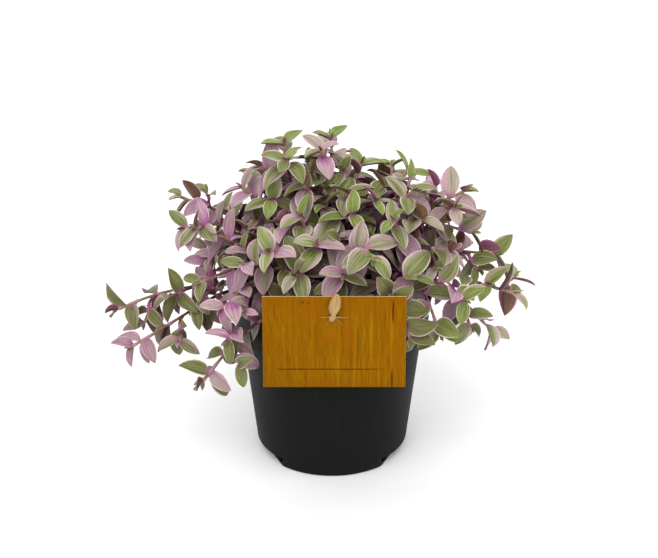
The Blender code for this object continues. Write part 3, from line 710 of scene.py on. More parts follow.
# Each stem's tip: heading from +X in degrees, reach from the axis and height in mm, and pitch
SHOOTS = (
    (170, 29, 201, 82), (92, 12, 202, 80), (48, 27, 182, 50), (12, 47, 182, 48), (164, 12, 184, 66),
    (175, 55, 173, 38), (352, 31, 178, 52), (300, 18, 178, 58), (258, 43, 156, 34), (290, 34, 171, 40),
    (293, 60, 153, -30), (236, 34, 168, 62), (277, 52, 141, 22), (247, 56, 141, 14), (231, 58, 153, 24),
    (222, 69, 145, 10), (316, 66, 136, 18), (302, 67, 127, -22), (332, 60, 166, 30), (338, 52, 181, 44),
    (324, 79, 100, -68), (307, 76, 104, -72), (342, 74, 143, 8), (333, 88, 119, -30), (354, 72, 157, 26),
    (1, 80, 172, 24), (3, 101, 128, -8), (355, 112, 109, -12), (341, 102, 95, -40), (180, 92, 169, 22),
    (190, 90, 155, -12), (196, 72, 153, 30), (204, 86, 128, -16), (219, 83, 119, -38), (194, 133, 109, -22),
    (205, 131, 96, -20), (223, 104, 81, -38), (28, 76, 150, 18), (50, 58, 166, 38), (66, 84, 128, -12),
    (84, 54, 172, 40), (98, 88, 118, -30), (112, 62, 158, 24), (128, 90, 124, -20), (140, 60, 168, 36),
    (154, 88, 136, 2), (35, 98, 108, -36), (162, 84, 122, -26), (60, 99, 112, -34), (112, 98, 110, -38),
    (142, 97, 108, -34), (68, 44, 172, 50),
)
# The low arms, by their place in SHOOTS, and how far each rises out of the soil in mm
LOW_RISES = {34: 27, 35: 25, 36: 26}
# Side shoots: the stem's place in SHOOTS, the fork's distance back from its tip in mm, and the tip as above
BRANCHES = (
    (34, 48, 198, 104, 118, 10), (34, 24, 196, 118, 100, -50), (35, 36, 211, 106, 99, -40),
    (36, 24, 234, 92, 94, -50), (36, 44, 226, 88, 104, -50), (29, 20, 180, 76, 171, 20),
    (30, 16, 195, 84, 158, 10), (26, 20, 358, 90, 122, -20), (27, 22, 350, 96, 118, 10),
    (28, 24, 338, 90, 98, -50), (27, 8, 1, 113, 114, 10), (0, 22, 175, 44, 187, 40),
    (47, 22, 172, 80, 118, -30), (24, 14, 3, 86, 143, -16), (25, 26, 7, 64, 174, 30),
    (5, 22, 198, 38, 172, 20), (9, 26, 290, 54, 152, -10), (34, 66, 203, 90, 112, -30),
)
# Where the plant's habit changes: its left and right sides, the upper part and the crown
LEFT_SIDE = -0.045
RIGHT_SIDE = 0.045
UPPER_HEIGHT = 0.155
CROWN_HEIGHT = 0.158

Leaf = namedtuple("Leaf", "root along upper length width droop fold twist curl order")


def corners_of(node_name):
    """A search tree of a CAD node's corners."""
    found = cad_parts[node_name].data.vertices
    tree = KDTree(len(found))
    for i, v in enumerate(found):
        tree.insert(v.co, i)
    tree.balance()
    return tree


def bezier(a, b, c, d, t):
    """A point of the curve from a to d, drawn towards b and c."""
    u = 1 - t
    return a * u ** 3 + b * (3 * u * u * t) + c * (3 * u * t * t) + d * t ** 3


def wished_tip(heading, reach, height, pitch):
    """A shoot's tip, the way it points there, and its heading."""
    turn, level = math.radians(heading), math.radians(pitch)
    out = Vector((math.cos(turn), math.sin(turn), 0))
    return out * reach * 0.001 + UP * height * 0.001, out * math.cos(level) + UP * math.sin(level), turn


def stem_root(index, heading, reach):
    """Stems stand apart in the soil, each on the side it leans to."""
    inward = STEM_INWARD[index % len(STEM_INWARD)]
    radius = max(0.004, min(0.050, 0.62 * reach) - inward)
    turn = heading + 0.34 * math.sin(2.3 * index)
    return Vector((radius * math.cos(turn), radius * math.sin(turn), SOIL_TOP))


def stem_course(root, tip, aim, rise, reach_back):
    """Points along a stem: straight up out of the soil, over, and out to the tip."""
    start = root + UP * STEM_RISE
    course = [root - UP * STEM_SINK, start]
    steps = 7 if (tip - start).length > LONG_STEM else 5
    for i in range(1, steps + 1):
        course.append(bezier(start, start + UP * rise, tip - aim * reach_back, tip, (i / steps) ** 0.92))
    return course


def plan_stem(index, chance):
    """The stem's course as it stands in the part: the try whose foot meets the solid's foot."""
    tip, aim, turn = wished_tip(*SHOOTS[index])
    reach = SHOOTS[index][1]
    span = (tip - UP * SOIL_TOP).length
    for attempt in range(STEM_TRIES):
        wander = STEM_WANDER * attempt ** WANDER_GROWTH
        root = stem_root(index, turn, reach * 0.001)
        root += Vector((chance.uniform(-wander, wander), chance.uniform(-wander, wander), 0))
        rise = span * 0.42 + max(0, 0.115 - tip.z) * 0.9 + 0.0010 * attempt
        if index in LOW_RISES:
            rise = LOW_RISES[index] * 0.001 + 0.0004 * attempt
        foot = root - UP * STEM_SINK + Vector((STEM_RADIUS, 0, 0))
        if nearest[index].find(foot)[2] < MATCH:
            return stem_course(root, tip, aim, rise, span * (0.34 + 0.012 * (attempt % 7)))
    raise RuntimeError(f"stem {index + 1} isn't where the part has it")


def plan_branch(number, chance):
    """A side shoot's course as it stands in the part: the try whose tip meets the solid's tip."""
    stem, back, *aimed = BRANCHES[number]
    wished, aim, turn = wished_tip(*aimed)
    fork, ahead, side, place = point_at(frames_along(courses[stem]), back * 0.001)
    for attempt in range(BRANCH_TRIES):
        wander = BRANCH_WANDER * attempt ** WANDER_GROWTH
        tip = wished + Vector([chance.uniform(-wander, wander) for axis in range(3)])
        pull = (tip - fork).length * 0.35
        course = [bezier(fork, fork + ahead * pull, tip - aim * pull, tip, i / BRANCH_STEPS)
                  for i in range(BRANCH_STEPS + 1)]
        point, along, side = frames_along(course, False)[-1]
        corners = [side * math.cos(k * math.tau / 3) + along.cross(side) * math.sin(k * math.tau / 3)
                   for k in range(3)]
        if any(nearest[stem].find(point + c * STEM_TIP_RADIUS)[2] < MATCH for c in corners):
            return course
    raise RuntimeError(f"side shoot {number + 1} isn't where the part has it")


def frames_along(course, planted=True):
    """A tangent and a steadily carried side direction at each point of a course."""
    side = Vector((1, 0, 0))
    frames = []
    for i, point in enumerate(course):
        ahead = (course[min(i + 1, len(course) - 1)] - course[max(i - 1, 0)]).normalized()
        if planted and i < 2:
            ahead = UP.copy()
        side = (side - ahead * side.dot(ahead)).normalized()
        frames.append((point, ahead, side))
    return frames


def point_at(frames, distance_from_tip):
    """The frame at a distance back from the tip, and its place counted in steps."""
    left = distance_from_tip
    for i in range(len(frames) - 1, 0, -1):
        length = (frames[i][0] - frames[i - 1][0]).length
        if left <= length:
            mix = left / length
            ahead = frames[i][1].lerp(frames[i - 1][1], mix).normalized()
            side = frames[i][2].lerp(frames[i - 1][2], mix)
            side = (side - ahead * side.dot(ahead)).normalized()
            return frames[i][0].lerp(frames[i - 1][0], mix), ahead, side, i - mix
        left -= length
    return (*frames[0], 0.0)


def length_of(course):
    return sum((a - b).length for a, b in zip(course[1:], course))


class Shoot:
    """A stem or side shoot, with its leaves and their distances back from its tip."""

    def __init__(self, owner, course, turn, bias, planted=False, extra=False):
        self.number, self.owner, self.course, self.turn, self.bias = len(shoots), owner, course, turn, bias
        self.planted, self.extra = planted, extra
        self.low = owner in LOW_RISES
        self.frames = frames_along(course, planted)
        self.total = length_of(course[1:] if planted else course)
        self.leaves, self.nodes = [], []
        self.next = (turn, BARE_TIP, 1.0)

    def seat(self, back):
        """Where a leaf sits at a distance from the tip, and the shoot's directions there."""
        point, ahead, side, place = point_at(self.frames, back)
        root = smooth_row(self.course, place) if place > 1 or not self.planted else point
        return point, root, ahead, side


def next_turn(order):
    """Leaves stand opposite each other, and each pair is turned from the last."""
    return math.pi + (0.0 if order % 2 == 0 else PAIR_TURN)


def leaf_pose(ahead, side, turn, spread_angle):
    """The blade's direction and its upper side's normal, turned to the stem's tip and the light."""
    radial = side * math.cos(turn) + ahead.cross(side) * math.sin(turn)
    along = (radial * math.sin(spread_angle) + ahead * math.cos(spread_angle)).normalized()
    up = ahead * 0.62 + LIGHT * 0.58
    normal = up - along * up.dot(along)
    if normal.length < 0.05:
        normal = ahead - along * ahead.dot(along)
    return along, normal.normalized()


def flatter(along, normal, share):
    """A blade's normal turned about its length towards the sky."""
    wanted = normal.lerp(UP, share)
    wanted -= along * wanted.dot(along)
    return wanted.normalized() if wanted.length > 0.1 else normal


def blade_spot(leaf, x, t):
    """A point of the blade: x across in half widths, t along it."""
    root, along, upper, length, width, droop, fold, twist, curl, order = leaf
    across = along.cross(upper).normalized()
    ahead = (along * (1 - BEND_BACK * droop * t) - upper * (BEND_DOWN * droop * t)).normalized()
    across = Matrix.Rotation(twist * t, 3, ahead) @ across
    lift = across.cross(ahead)
    middle = root + along * (length * t * (1 - TIP_IN * droop * t))
    middle -= upper * (length * droop * TIP_SINK * t * t)
    middle += across * (curl * length * t * t)
    return middle + across * (x * width / 2) + lift * (abs(x) * width / 2 * fold)


# How a leaf may be turned about its stem, tilted and made smaller, in the order that is tried
TRIES = [(0, 0, 1)]
TRIES += [(a, b, 1) for a in (0.3, -0.3, 0.6, -0.6) for b in (0, 0.25, -0.25)]
TRIES += [(a, b, 0.82) for a in (0, 0.45, -0.45, 0.9, -0.9) for b in (0, 0.35, -0.35)]
TRIES += [(a, b, 0.66) for a in (0, 0.7, -0.7) for b in (0, 0.4, -0.4)]
# For clearance a blade is a thin sheet, with these half widths along it; its outer part starts further out
SHEET = ((0.0, 0.12), (0.30, 0.92), (0.68, 0.80), (1.0, 0.02))
OUTER_START = 0.3
PRISM_CORNERS = (0, 2.094, 4.189)
CELL = 0.022
BOX_MARGIN = 0.0003
CARD_Y = card_place.translation.y
GUARD_RISE = math.tan(math.radians(25))
GUARD_DEPTH = 0.002
GUARD_SIDE = 0.001
GUARD_DROP = 0.004
placed = {}


def cell_of(point):
    return tuple(int(math.floor(c / CELL)) for c in point)


def keep(tree, middle, reach, shoot_number, kind):
    """Files a placed piece by where it is."""
    placed.setdefault(cell_of(middle), []).append((tree, middle, reach, shoot_number, kind))


def tree_from(points, faces):
    middle = sum(points, Vector()) / len(points)
    return BVHTree.FromPolygons(points, faces), middle, max((p - middle).length for p in points)


def sheet_of(leaf, start=0.0):
    """The blade as a thin sheet for clearance, from a share of its length on."""
    points, faces = [], []
    for t, half in SHEET:
        points += [blade_spot(leaf, x * half, start + (1 - start) * t) for x in (-1, 0, 1)]
    for k in range(len(SHEET) - 1):
        for i in (0, 1):
            a, b = 3 * k + i, 3 * k + i + 1
            faces += [(a, b, b + 3), (a, b + 3, a + 3)]
    return points, faces


def neighbours(middle, reach):
    """Placed pieces whose reach meets a ball."""
    home = cell_of(middle)
    for x in (-1, 0, 1):
        for y in (-1, 0, 1):
            for z in (-1, 0, 1):
                for item in placed.get((home[0] + x, home[1] + y, home[2] + z), ()):
                    if (item[1] - middle).length < item[2] + reach:
                        yield item


def out_of_bounds(points):
    """True where a point leaves the whole part's box or hangs before the card."""
    for p in points:
        if not all(cad_low[i] + BOX_MARGIN < p[i] < cad_high[i] - BOX_MARGIN for i in range(3)):
            return True
        if p.y < CARD_Y + GUARD_DEPTH and abs(p.x - CARD_OFFSET) < CARD_WIDTH / 2 + GUARD_SIDE:
            if CARD_TOP - CARD_HEIGHT - GUARD_DROP < p.z < CARD_TOP + (CARD_Y - p.y) * GUARD_RISE:
                return True
    return False


hard = []
for name in ("pot", "soil", "card", "raffia_tie"):
    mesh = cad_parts[name].data
    corners = [v.co for v in mesh.vertices]
    hard.append(BVHTree.FromPolygons(corners, [list(p.vertices) for p in mesh.polygons]))


def leaf_is_clear(leaf, shoot):
    """True when the blade crosses nothing that is already placed; on its own shoot, its foot may."""
    points, faces = sheet_of(leaf)
    if out_of_bounds(points):
        return False
    tree, middle, reach = tree_from(points, faces)
    if any(tree.overlap(other) for other in hard):
        return False
    outer = tree_from(*sheet_of(leaf, OUTER_START))[0]
    for other, _, _, number, kind in neighbours(middle, reach):
        own = number == shoot.number
        if kind != ("leaf_whole" if own else "leaf_outer") and (outer if own else tree).overlap(other):
            return False
    return True


def keep_leaf(leaf, shoot):
    keep(*tree_from(*sheet_of(leaf)), shoot.number, "leaf_whole")
    keep(*tree_from(*sheet_of(leaf, OUTER_START)), shoot.number, "leaf_outer")


def tube_trees(course, girth):
    """The stem as short three-sided prisms for clearance."""
    rings = []
    for point, ahead, side in frames_along(course, False):
        other = ahead.cross(side)
        rings.append([point + (side * math.cos(a) + other * math.sin(a)) * girth for a in PRISM_CORNERS])
    faces = [(0, 1, 4, 3), (1, 2, 5, 4), (2, 0, 3, 5)]
    return [tree_from(low + high, faces) for low, high in zip(rings, rings[1:])]


def lined(points, count):
    """The smooth curve through the points, at even counts."""
    return [smooth_row(points, k * (len(points) - 1) / count) for k in range(count + 1)]


# The stems and the leaves that the part already has, found again by the same rule
chance = random.Random(GROWTH_SEED)
nearest = [corners_of(f"leafy_stem_{i + 1:02d}") for i in range(len(SHOOTS))]
courses = [plan_stem(i, chance) for i in range(len(SHOOTS))]
chance = random.Random(GROWTH_SEED + 2)
owners = list(range(len(SHOOTS))) + [branch[0] for branch in BRANCHES]
courses += [plan_branch(i, chance) for i in range(len(BRANCHES))]
chance = random.Random(GROWTH_SEED + 1)
looks = random.Random(GROWTH_SEED + 3)
shoots = []


def blade_form(shoot, root):
    """How slim a leaf is, and how little and how much it folds, by where it grows."""
    if shoot.low:
        return 0.76, 0.45, 1.0
    return (0.80, 0.28, 0.66) if root.x < LEFT_SIDE else (0.92, 0.24, 0.60)


for index, course in enumerate(courses):
    planted = index < len(SHOOTS)
    shoot = Shoot(owners[index], course, chance.uniform(0, math.tau), looks.uniform(-0.22, 0.30), planted)
    shoots.append(shoot)
    turn, back = shoot.turn, BARE_TIP
    stretch = min(1.7, max(1.0, (shoot.total - 0.020) / 0.046))
    count = (LEAVES_PER_LOW_STEM if shoot.low else LEAVES_PER_STEM) if planted else LEAVES_PER_BRANCH
    for order in range(count):
        if back > shoot.total - (BARE_FOOT if planted else BARE_FORK):
            break
        kind = order if order < len(LEAF_SIZES) else order % 2 + len(LEAF_SIZES) - 2
        point, root, ahead, side = shoot.seat(back)
        wide = math.radians(LEAF_SPREADS[kind] + chance.uniform(-6, 6))
        size = LEAF_SIZES[kind] * chance.uniform(0.92, 1.06)
        droop = 0.25 + 0.35 * chance.random()
        for twist, tilt, scale in TRIES:
            along, normal = leaf_pose(ahead, side, turn + twist, wide + tilt)
            length = LEAF_LENGTH * size * scale
            end = point + along * length * (1 - TIP_IN * droop) - normal * length * droop * TIP_SINK
            if nearest[shoot.owner].find(end)[2] < MATCH:
                slim, least, most = blade_form(shoot, root)
                shoot.leaves.append(Leaf(root, along, normal, length, LEAF_WIDTH * size * scale * slim, droop,
                                         looks.uniform(least, most), looks.uniform(-0.40, 0.40),
                                         looks.uniform(-0.12, 0.12), order))
                shoot.nodes.append(back)
                break
        turn += next_turn(order) + chance.uniform(-0.2, 0.2)
        back += LEAF_STEPS[kind] * (stretch if order > 1 else 1.0)
    shoot.next = (turn, back, stretch)

# Leaves turn their faces to the sky and grow as far as they stay clear
for shoot in shoots:
    for tree, middle, reach in tube_trees(lined(shoot.course, 14 if shoot.planted else 5), STEM_RADIUS):
        keep(tree, middle, reach, shoot.number, "stem")
for shoot in shoots:
    for k, leaf in enumerate(shoot.leaves):
        larger = looks.uniform(1.06, 1.26)
        if not leaf.order or shoot.low or leaf.root.x < LEFT_SIDE:
            larger = 1.0
        elif leaf.root.z > UPPER_HEIGHT or leaf.root.x > RIGHT_SIDE:
            larger = larger * 0.5 + 0.5
        first = 0.95 if leaf.root.z > CROWN_HEIGHT else 0.62
        for share, roll, gain in ((first, looks.uniform(-0.3, 0.3) * (1.2 - first), larger),
                                  (0.45, looks.uniform(-0.2, 0.2), larger),
                                  (0.3, 0.0, larger), (0.3, 0.0, 1.0), (0.15, 0.0, 1.0)):
            upper = Matrix.Rotation(roll, 3, leaf.along) @ flatter(leaf.along, leaf.upper, share)
            eased = leaf._replace(upper=upper, length=leaf.length * gain, width=leaf.width * gain)
            if leaf_is_clear(eased, shoot):
                shoot.leaves[k] = eased
                break
        keep_leaf(shoot.leaves[k], shoot)

# Side shoots: each stem branches at spaced places along it towards the widest free space beside it. They
# start further back on a long stem, and stay within their stem's reach, or the core's
SIDE_GAP = 0.0105
SIDE_START = 0.017
SIDE_SPACINGS = (0.012, 0.017)
SIDE_LENGTHS = (0.026, 0.019, 0.013)
SIDE_TURNS = 7
SIDE_STEPS_ALONG = 4
SIDE_SIZES = (0.66, 0.74, 0.94, 1.02, 1.06)
SIDE_SPREADS = (44, 50, 62, 70, 76)
SIDE_STEPS = (0.0013, 0.0040, 0.0018, 0.0062, 0.0052)
SIDE_RADIUS = 0.0009
SIDE_CLEAR_RADIUS = 0.0008
SIDE_FOOT = 0.008
CORE_REACH = 0.045
LONG_REACH = 0.078
TIP_LEAD = 0.004
BARE_END = 0.003
tips = [shoot.course[-1] for shoot in shoots]
chance = random.Random(GROWTH_SEED + 4)


def side_course(shoot, back, turn, length):
    """A short shoot that leaves its stem aslant and turns up to the light."""
    point, ahead, side, place = point_at(shoot.frames, back)
    root = smooth_row(shoot.course, place) if place > 1 else point
    radial = side * math.cos(turn) + ahead.cross(side) * math.sin(turn)
    leave = (radial * 0.8 + ahead * 0.6).normalized()
    end = (radial * 0.65 + ahead * 0.25 + LIGHT * 0.55).normalized()
    tip = root + (leave * 0.5 + end * 0.5).normalized() * length
    start, stop = root + leave * length * 0.35, tip - end * length * 0.35
    return [bezier(root, start, stop, tip, k / SIDE_STEPS_ALONG) for k in range(SIDE_STEPS_ALONG + 1)]


def course_is_clear(course):
    """True when a side shoot crosses no stem, whole leaf or hard piece."""
    for tree, middle, reach in tube_trees(course[1:], SIDE_CLEAR_RADIUS):
        if any(tree.overlap(other) for other in hard):
            return False
        if any(tree.overlap(item[0]) for item in neighbours(middle, reach) if item[4] != "leaf_outer"):
            return False
    return True


for parent in shoots[:len(SHOOTS)]:
    tip = parent.course[-1]
    back = SIDE_START + chance.uniform(0, 0.004) + max(0.0, tip.xy.length - LONG_REACH) * 1.1
    while back < parent.total - SIDE_FOOT:
        best_room, best = SIDE_GAP, None
        start = chance.uniform(0, math.tau)
        for length in SIDE_LENGTHS:
            for k in range(SIDE_TURNS):
                course = side_course(parent, back, start + k * math.tau / SIDE_TURNS,
                                     length * chance.uniform(0.9, 1.1))
                end = course[-1]
                room = min((end - other).length for other in tips)
                if room < best_room or (best and room <= best_room) or out_of_bounds(course[1:]):
                    continue
                if end.xy.length > max(tip.xy.length, CORE_REACH) - TIP_LEAD or end.z > tip.z + TIP_LEAD:
                    continue
                if course_is_clear(course):
                    best_room, best = room, course
        if best:
            shoot = Shoot(parent.owner, best, chance.uniform(0, math.tau),
                          parent.bias + looks.uniform(-0.15, 0.15), extra=True)
            shoots.append(shoot)
            tips.append(best[-1])
            for tree, middle, reach in tube_trees(best[1:], SIDE_RADIUS):
                keep(tree, middle, reach, shoot.number, "stem")
        back += chance.uniform(*SIDE_SPACINGS)


def try_leaf(shoot, back, turn, wide, size, droop, order, fold=(0.24, 0.72), slim=(0.76, 0.98)):
    """Places a leaf where it wants to be, or turned, tilted or smaller, if it then is clear."""
    point, root, ahead, side = shoot.seat(back)
    twist, curl, roll = looks.uniform(-0.6, 0.6), looks.uniform(-0.16, 0.16), looks.uniform(-0.40, 0.40)
    fold, slim, sky = looks.uniform(*fold), looks.uniform(*slim), looks.uniform(0.2, 0.75)
    if root.x < LEFT_SIDE:
        size, slim, fold = size * 0.90, slim * 0.84, fold + 0.05
    elif root.z > CROWN_HEIGHT:
        size, sky, roll = size * 0.92, 0.7 + 0.3 * sky, roll * 0.5
    elif root.x > RIGHT_SIDE:
        size *= 0.92
    for turned_by, tilt, scale in TRIES:
        along, normal = leaf_pose(ahead, side, turn + turned_by, wide + tilt)
        normal = Matrix.Rotation(roll, 3, along) @ flatter(along, normal, sky)
        leaf = Leaf(root, along, normal, LEAF_LENGTH * size * scale, LEAF_WIDTH * size * scale * slim, droop,
                    fold, twist, curl, order)
        if leaf_is_clear(leaf, shoot):
            shoot.leaves.append(leaf)
            shoot.nodes.append(back)
            keep_leaf(leaf, shoot)
            return


for order in range(len(SIDE_SIZES)):
    for shoot in (s for s in shoots if s.extra):
        turn, back, stretch = shoot.next
        if back > shoot.total - BARE_END:
            continue
        try_leaf(shoot, back, turn, math.radians(SIDE_SPREADS[order] + chance.uniform(-6, 6)),
                 SIDE_SIZES[order] * chance.uniform(0.9, 1.12), 0.2 + 0.7 * chance.random(), order)
        turn += next_turn(order) + chance.uniform(-0.25, 0.25)
        shoot.next = (turn, back + SIDE_STEPS[order], 1.0)

# Older leaves further down the stems
OLD_FOOT = 0.010
OLD_STEP = 0.0062
for shoot in (s for s in shoots if not s.extra):
    turn, back, stretch = shoot.next
    order = len(shoot.leaves)
    while back < shoot.total - (OLD_FOOT if shoot.planted else BARE_END):
        try_leaf(shoot, back, turn, math.radians(84 + chance.uniform(-10, 12)), chance.uniform(0.92, 1.20),
                 0.40 + 0.75 * chance.random(), order)
        turn += next_turn(order) + chance.uniform(-0.3, 0.3)
        back += OLD_STEP * stretch * chance.uniform(0.8, 1.2)
        order += 1

# The low arms carry a second leaf at each node, hanging under the stem
ARM_START = -0.055
ARM_PAIR_STEP = 0.0016
for shoot in shoots:
    if not shoot.low or shoot.course[-1].x > ARM_START:
        continue
    for back in [k for k in shoot.nodes if k > BARE_END]:
        ahead, side = point_at(shoot.frames, back)[1:3]
        down = math.atan2(-ahead.cross(side).z, -side.z)
        try_leaf(shoot, back + ARM_PAIR_STEP, down + chance.uniform(-0.9, 0.9),
                 math.radians(chance.uniform(58, 84)), chance.uniform(0.86, 1.14),
                 chance.uniform(0.3, 0.9), 4)

# A folded young pair closes every tip
PAIR_START = 0.0002
PAIR_STEP = 0.0005
for shoot in shoots:
    turn = shoot.turn + math.pi / 2 + chance.uniform(-0.3, 0.3)
    for k in range(2):
        try_leaf(shoot, PAIR_START + PAIR_STEP * k, turn + math.pi * k, math.radians(chance.uniform(14, 30)),
                 chance.uniform(0.27, 0.40), 0.15, -1, (0.45, 0.8), (0.8, 0.9))

# Leaf colours: green in the middle, cream-pink along the edges, and pink in stripes and halves
variegation, given = node_group("variegation", "ShaderNodeTree", {"Blade": "Vector", "Tint": "Vector"},
                                dict.fromkeys(("Pink", "Edge", "Veins", "Midrib", "Mottle", "Base", "Lines",
                                               "Flush", "Streaks"), "Float"))
u, t = split(given["Blade"])[:2]
pinkness, seed = split(given["Tint"])[:2]
lane = signal("ShaderNodeCombineXYZ", (u * 2.6, t * 0.55, seed * 61.0))
stripes = grain(lane, 1.0, 2.0, 0.55)
fine = grain(signal("ShaderNodeCombineXYZ", (u * 9.0, t * 0.8, seed * 23.0)), 1.0, 2.0, 0.6)
pinker_half = step("GREATER_THAN", step("FRACT", seed * 7.0), 0.5) * 2.0 - 1.0
side = abs(u)
level = (step("MINIMUM", pinkness, 0.90) * 2.3 - 1.87 + u * pinker_half * 0.36 + side * 0.8
         + (stripes - 0.5) * 2.1 + (fine - 0.5) * 0.4)
node(variegation, "NodeGroupOutput", (
    spread(level, -0.70, 0.70),
    spread(side + (fine - 0.5) * 0.22, 0.82, 0.92),
    signal("ShaderNodeTexWave", {0: signal("ShaderNodeCombineXYZ", (u, 0.0, 0.0)), 1: 1.9, 2: 0.0}, "Fac",
           wave_type="BANDS", bands_direction="X"),
    spread(side, 0.085, 0.02),
    grain(lane, 3.5, 3.0, 0.6),
    spread(t, 0.24, 0.02),
    spread(fine, 0.54, 0.72),
    spread(pinkness, 0.98, 1.28),
    t + (stripes - 0.5) * 1.6))


def leaf_finish(name, young, green, dark_green, pink, deep_pink, pale, edge, sheath, flush, painted_shade, reach,
                rough):
    """A leaf skin in greens and pinks, with a pale edge and raised veins, yellow-green where young, and
    painted shade that darkens it as its age value runs from 1 to 2.
    """
    made, shader = finish(name)
    blade, tint = [source(shader.id_data, "ShaderNodeAttribute", "Vector", attribute_name=label)
                   for label in ("blade", "tint")]
    marks = node(shader.id_data, "ShaderNodeGroup", node_tree=variegation)
    plug(marks.inputs["Blade"], blade)
    plug(marks.inputs["Tint"], tint)
    pinks, rim, veins, midrib, mottle, base, lines, flushed, streaks = [Signal(s) for s in marks.outputs]
    age_and_shade = split(tint)[2]
    patches = spread(mottle, 0.30, 0.70)
    body = blend(spread(age_and_shade, 0.0, 0.55), young, green)
    # The last blend is painted shade: towards the painted_shade colour as the age value runs from 1 to 2
    for share, over in ((patches, dark_green), (veins * 0.22, dark_green),
                        (pinks, blend(patches, pink, deep_pink)), (pinks * (1.0 - pinks) * 1.3, pale),
                        (flushed * spread(streaks, reach + 0.25, reach - 0.25), flush),
                        (lines * 0.28, edge), (rim * 0.85, edge), (midrib * 0.16, edge), (base * 0.8, sheath),
                        (spread(age_and_shade, 1.0, 2.0, 0.0, 0.62, "LINEAR"), painted_shade)):
        body = blend(share, body, over)
    dress(shader, Base_Color=body, Specular_IOR_Level=0.4, Subsurface_Weight=0.0,
          Roughness=spread(mottle, 0.3, 0.7, rough, rough + 0.12, "LINEAR"),
          Normal=relief(veins, 0.25, 0.0003))
    return made


leaf_top = leaf_finish(
    "leaf_upper", young=rgb(144, 174, 62), green=rgb(126, 137, 68), dark_green=rgb(96, 102, 44),
    pink=rgb(204, 162, 186), deep_pink=rgb(156, 104, 132), pale=rgb(192, 184, 160), edge=rgb(208, 196, 184),
    sheath=rgb(180, 96, 154), flush=rgb(174, 76, 152), painted_shade=rgb(72, 38, 32), reach=0.22, rough=0.42)
leaf_under = leaf_finish(
    "leaf_underside", young=rgb(138, 124, 56), green=rgb(126, 94, 62), dark_green=rgb(90, 56, 44),
    pink=rgb(200, 114, 168), deep_pink=rgb(156, 58, 124), pale=rgb(150, 110, 104), edge=rgb(212, 176, 186),
    sheath=rgb(172, 56, 146), flush=rgb(160, 56, 142), painted_shade=rgb(68, 32, 34), reach=0.50, rough=0.46)

stem_skin, shader = finish("stem_skin")
sheath, height = split(source(shader.id_data, "ShaderNodeAttribute", "Vector", attribute_name="blade"))[:2]
streak = grain(object_place(shader), 420.0, 3.0, 0.6)
colour = blend(spread(streak, 0.35, 0.65), rgb(106, 68, 58), rgb(118, 92, 58))
colour = blend(spread(height, 0.82, 0.40, 0.0, 0.85), colour, rgb(66, 32, 30))
colour = blend(sheath * 0.85, colour, blend(streak, rgb(168, 74, 142), rgb(196, 128, 170)))
colour = blend(spread(height, 0.80, 1.0, 0.0, 0.7), colour, rgb(148, 150, 88))
dress(shader, Base_Color=colour, Specular_IOR_Level=0.4,
      Roughness=spread(streak, 0.3, 0.7, 0.42, 0.55, "LINEAR"), Normal=relief(streak, 0.25, 0.0002))

# One blade, flat: rows along it and lanes across, upper and under skins meeting at the rim
BLADE_ROWS = ((0.0, 0.16), (0.10, 0.52), (0.24, 0.88), (0.42, 1.0), (0.59, 0.93), (0.75, 0.71), (0.88, 0.42),
              (0.965, 0.15), (1.0, 0.0))
BLADE_LANES = (-1.0, -0.54, 0.0, 0.54, 1.0)
BLADE_THICKNESS = 0.00032
FLAT_THICKNESS = 0.01
bm = bmesh.new()
lay = bm.verts.layers.float_vector.new("lay")
blade = bm.verts.layers.float_vector.new("blade")
under = bm.faces.layers.int.new("under")
tops, lows = [], []
for t, half in BLADE_ROWS:
    fullness = 0.25 + 0.75 * math.sin(math.pi * min(1.0, t + 0.12))
    high, low = [], []
    for u in (BLADE_LANES if half else (0.0,)):
        for row, way in ((high, 1), (low, -1)):
            if way < 0 and (abs(u) == 1.0 or not half):
                low.append(high[-1])
                continue
            v = bm.verts.new((u * half, t, way * FLAT_THICKNESS))
            v[lay] = (u * half, t, way * (1 - abs(u)) * fullness)
            v[blade] = (u, t, way)
            row.append(v)
    tops.append(high)
    lows.append(low)
for rows, way in ((tops, 0), (lows, 1)):
    for near, far in zip(rows, rows[1:]):
        for i in range(len(near) - 1):
            quad = [near[i], near[i + 1], far[min(i + 1, len(far) - 1)], far[min(i, len(far) - 1)]]
            quad = list(dict.fromkeys(quad))
            bm.faces.new(quad if way == 0 else reversed(quad))[under] = way
for i in range(len(BLADE_LANES) - 1):
    foot = (lows[0][i], lows[0][i + 1], tops[0][i + 1], tops[0][i])
    bm.faces.new(list(dict.fromkeys(foot)))[under] = 1
for edge in bm.edges:
    edge.smooth = len({near[under] for near in edge.link_faces}) == 1
flat_blade = as_object("flat_blade", bm)

# The growing rule: tubes along the stems' lines, and the flat blade laid out from every leaf root
TUBE_SIDES = 7
growth, given = node_group("grown_shoots", "GeometryNodeTree", {
    "plan": "Geometry", "flat_blade": "Object", "thickness": "Float", "lowest": "Vector", "highest": "Vector",
    "upper_skin": "Material", "under_skin": "Material", "stem_skin": "Material"}, {"grown": "Geometry"})


def named(label, kind="FLOAT"):
    """A value that each point carries under a name."""
    return source(growth, "GeometryNodeInputNamedAttribute", 0, [label], data_type=kind)


ring = source(growth, "GeometryNodeCurvePrimitiveCircle", 0, {0: TUBE_SIDES, 4: 1.0})
tube = signal("GeometryNodeCurveToMesh", (signal("GeometryNodeMeshToCurve", [given["plan"]]), ring,
                                          named("girth"), True))
tube = signal("GeometryNodeSetMaterial", {0: tube, 2: given["stem_skin"]})
is_leaf = signal("FunctionNodeCompare", (named("leaf"), 0.5), data_type="FLOAT", operation="GREATER_THAN")
is_under = signal("FunctionNodeCompare", {2: named("under", "INT"), 3: 1}, data_type="INT", operation="EQUAL")
flat = signal("GeometryNodeObjectInfo", [given["flat_blade"]], "Geometry")
leaves = signal("GeometryNodeRealizeInstances", [
    signal("GeometryNodeInstanceOnPoints", (given["plan"], is_leaf, flat))])

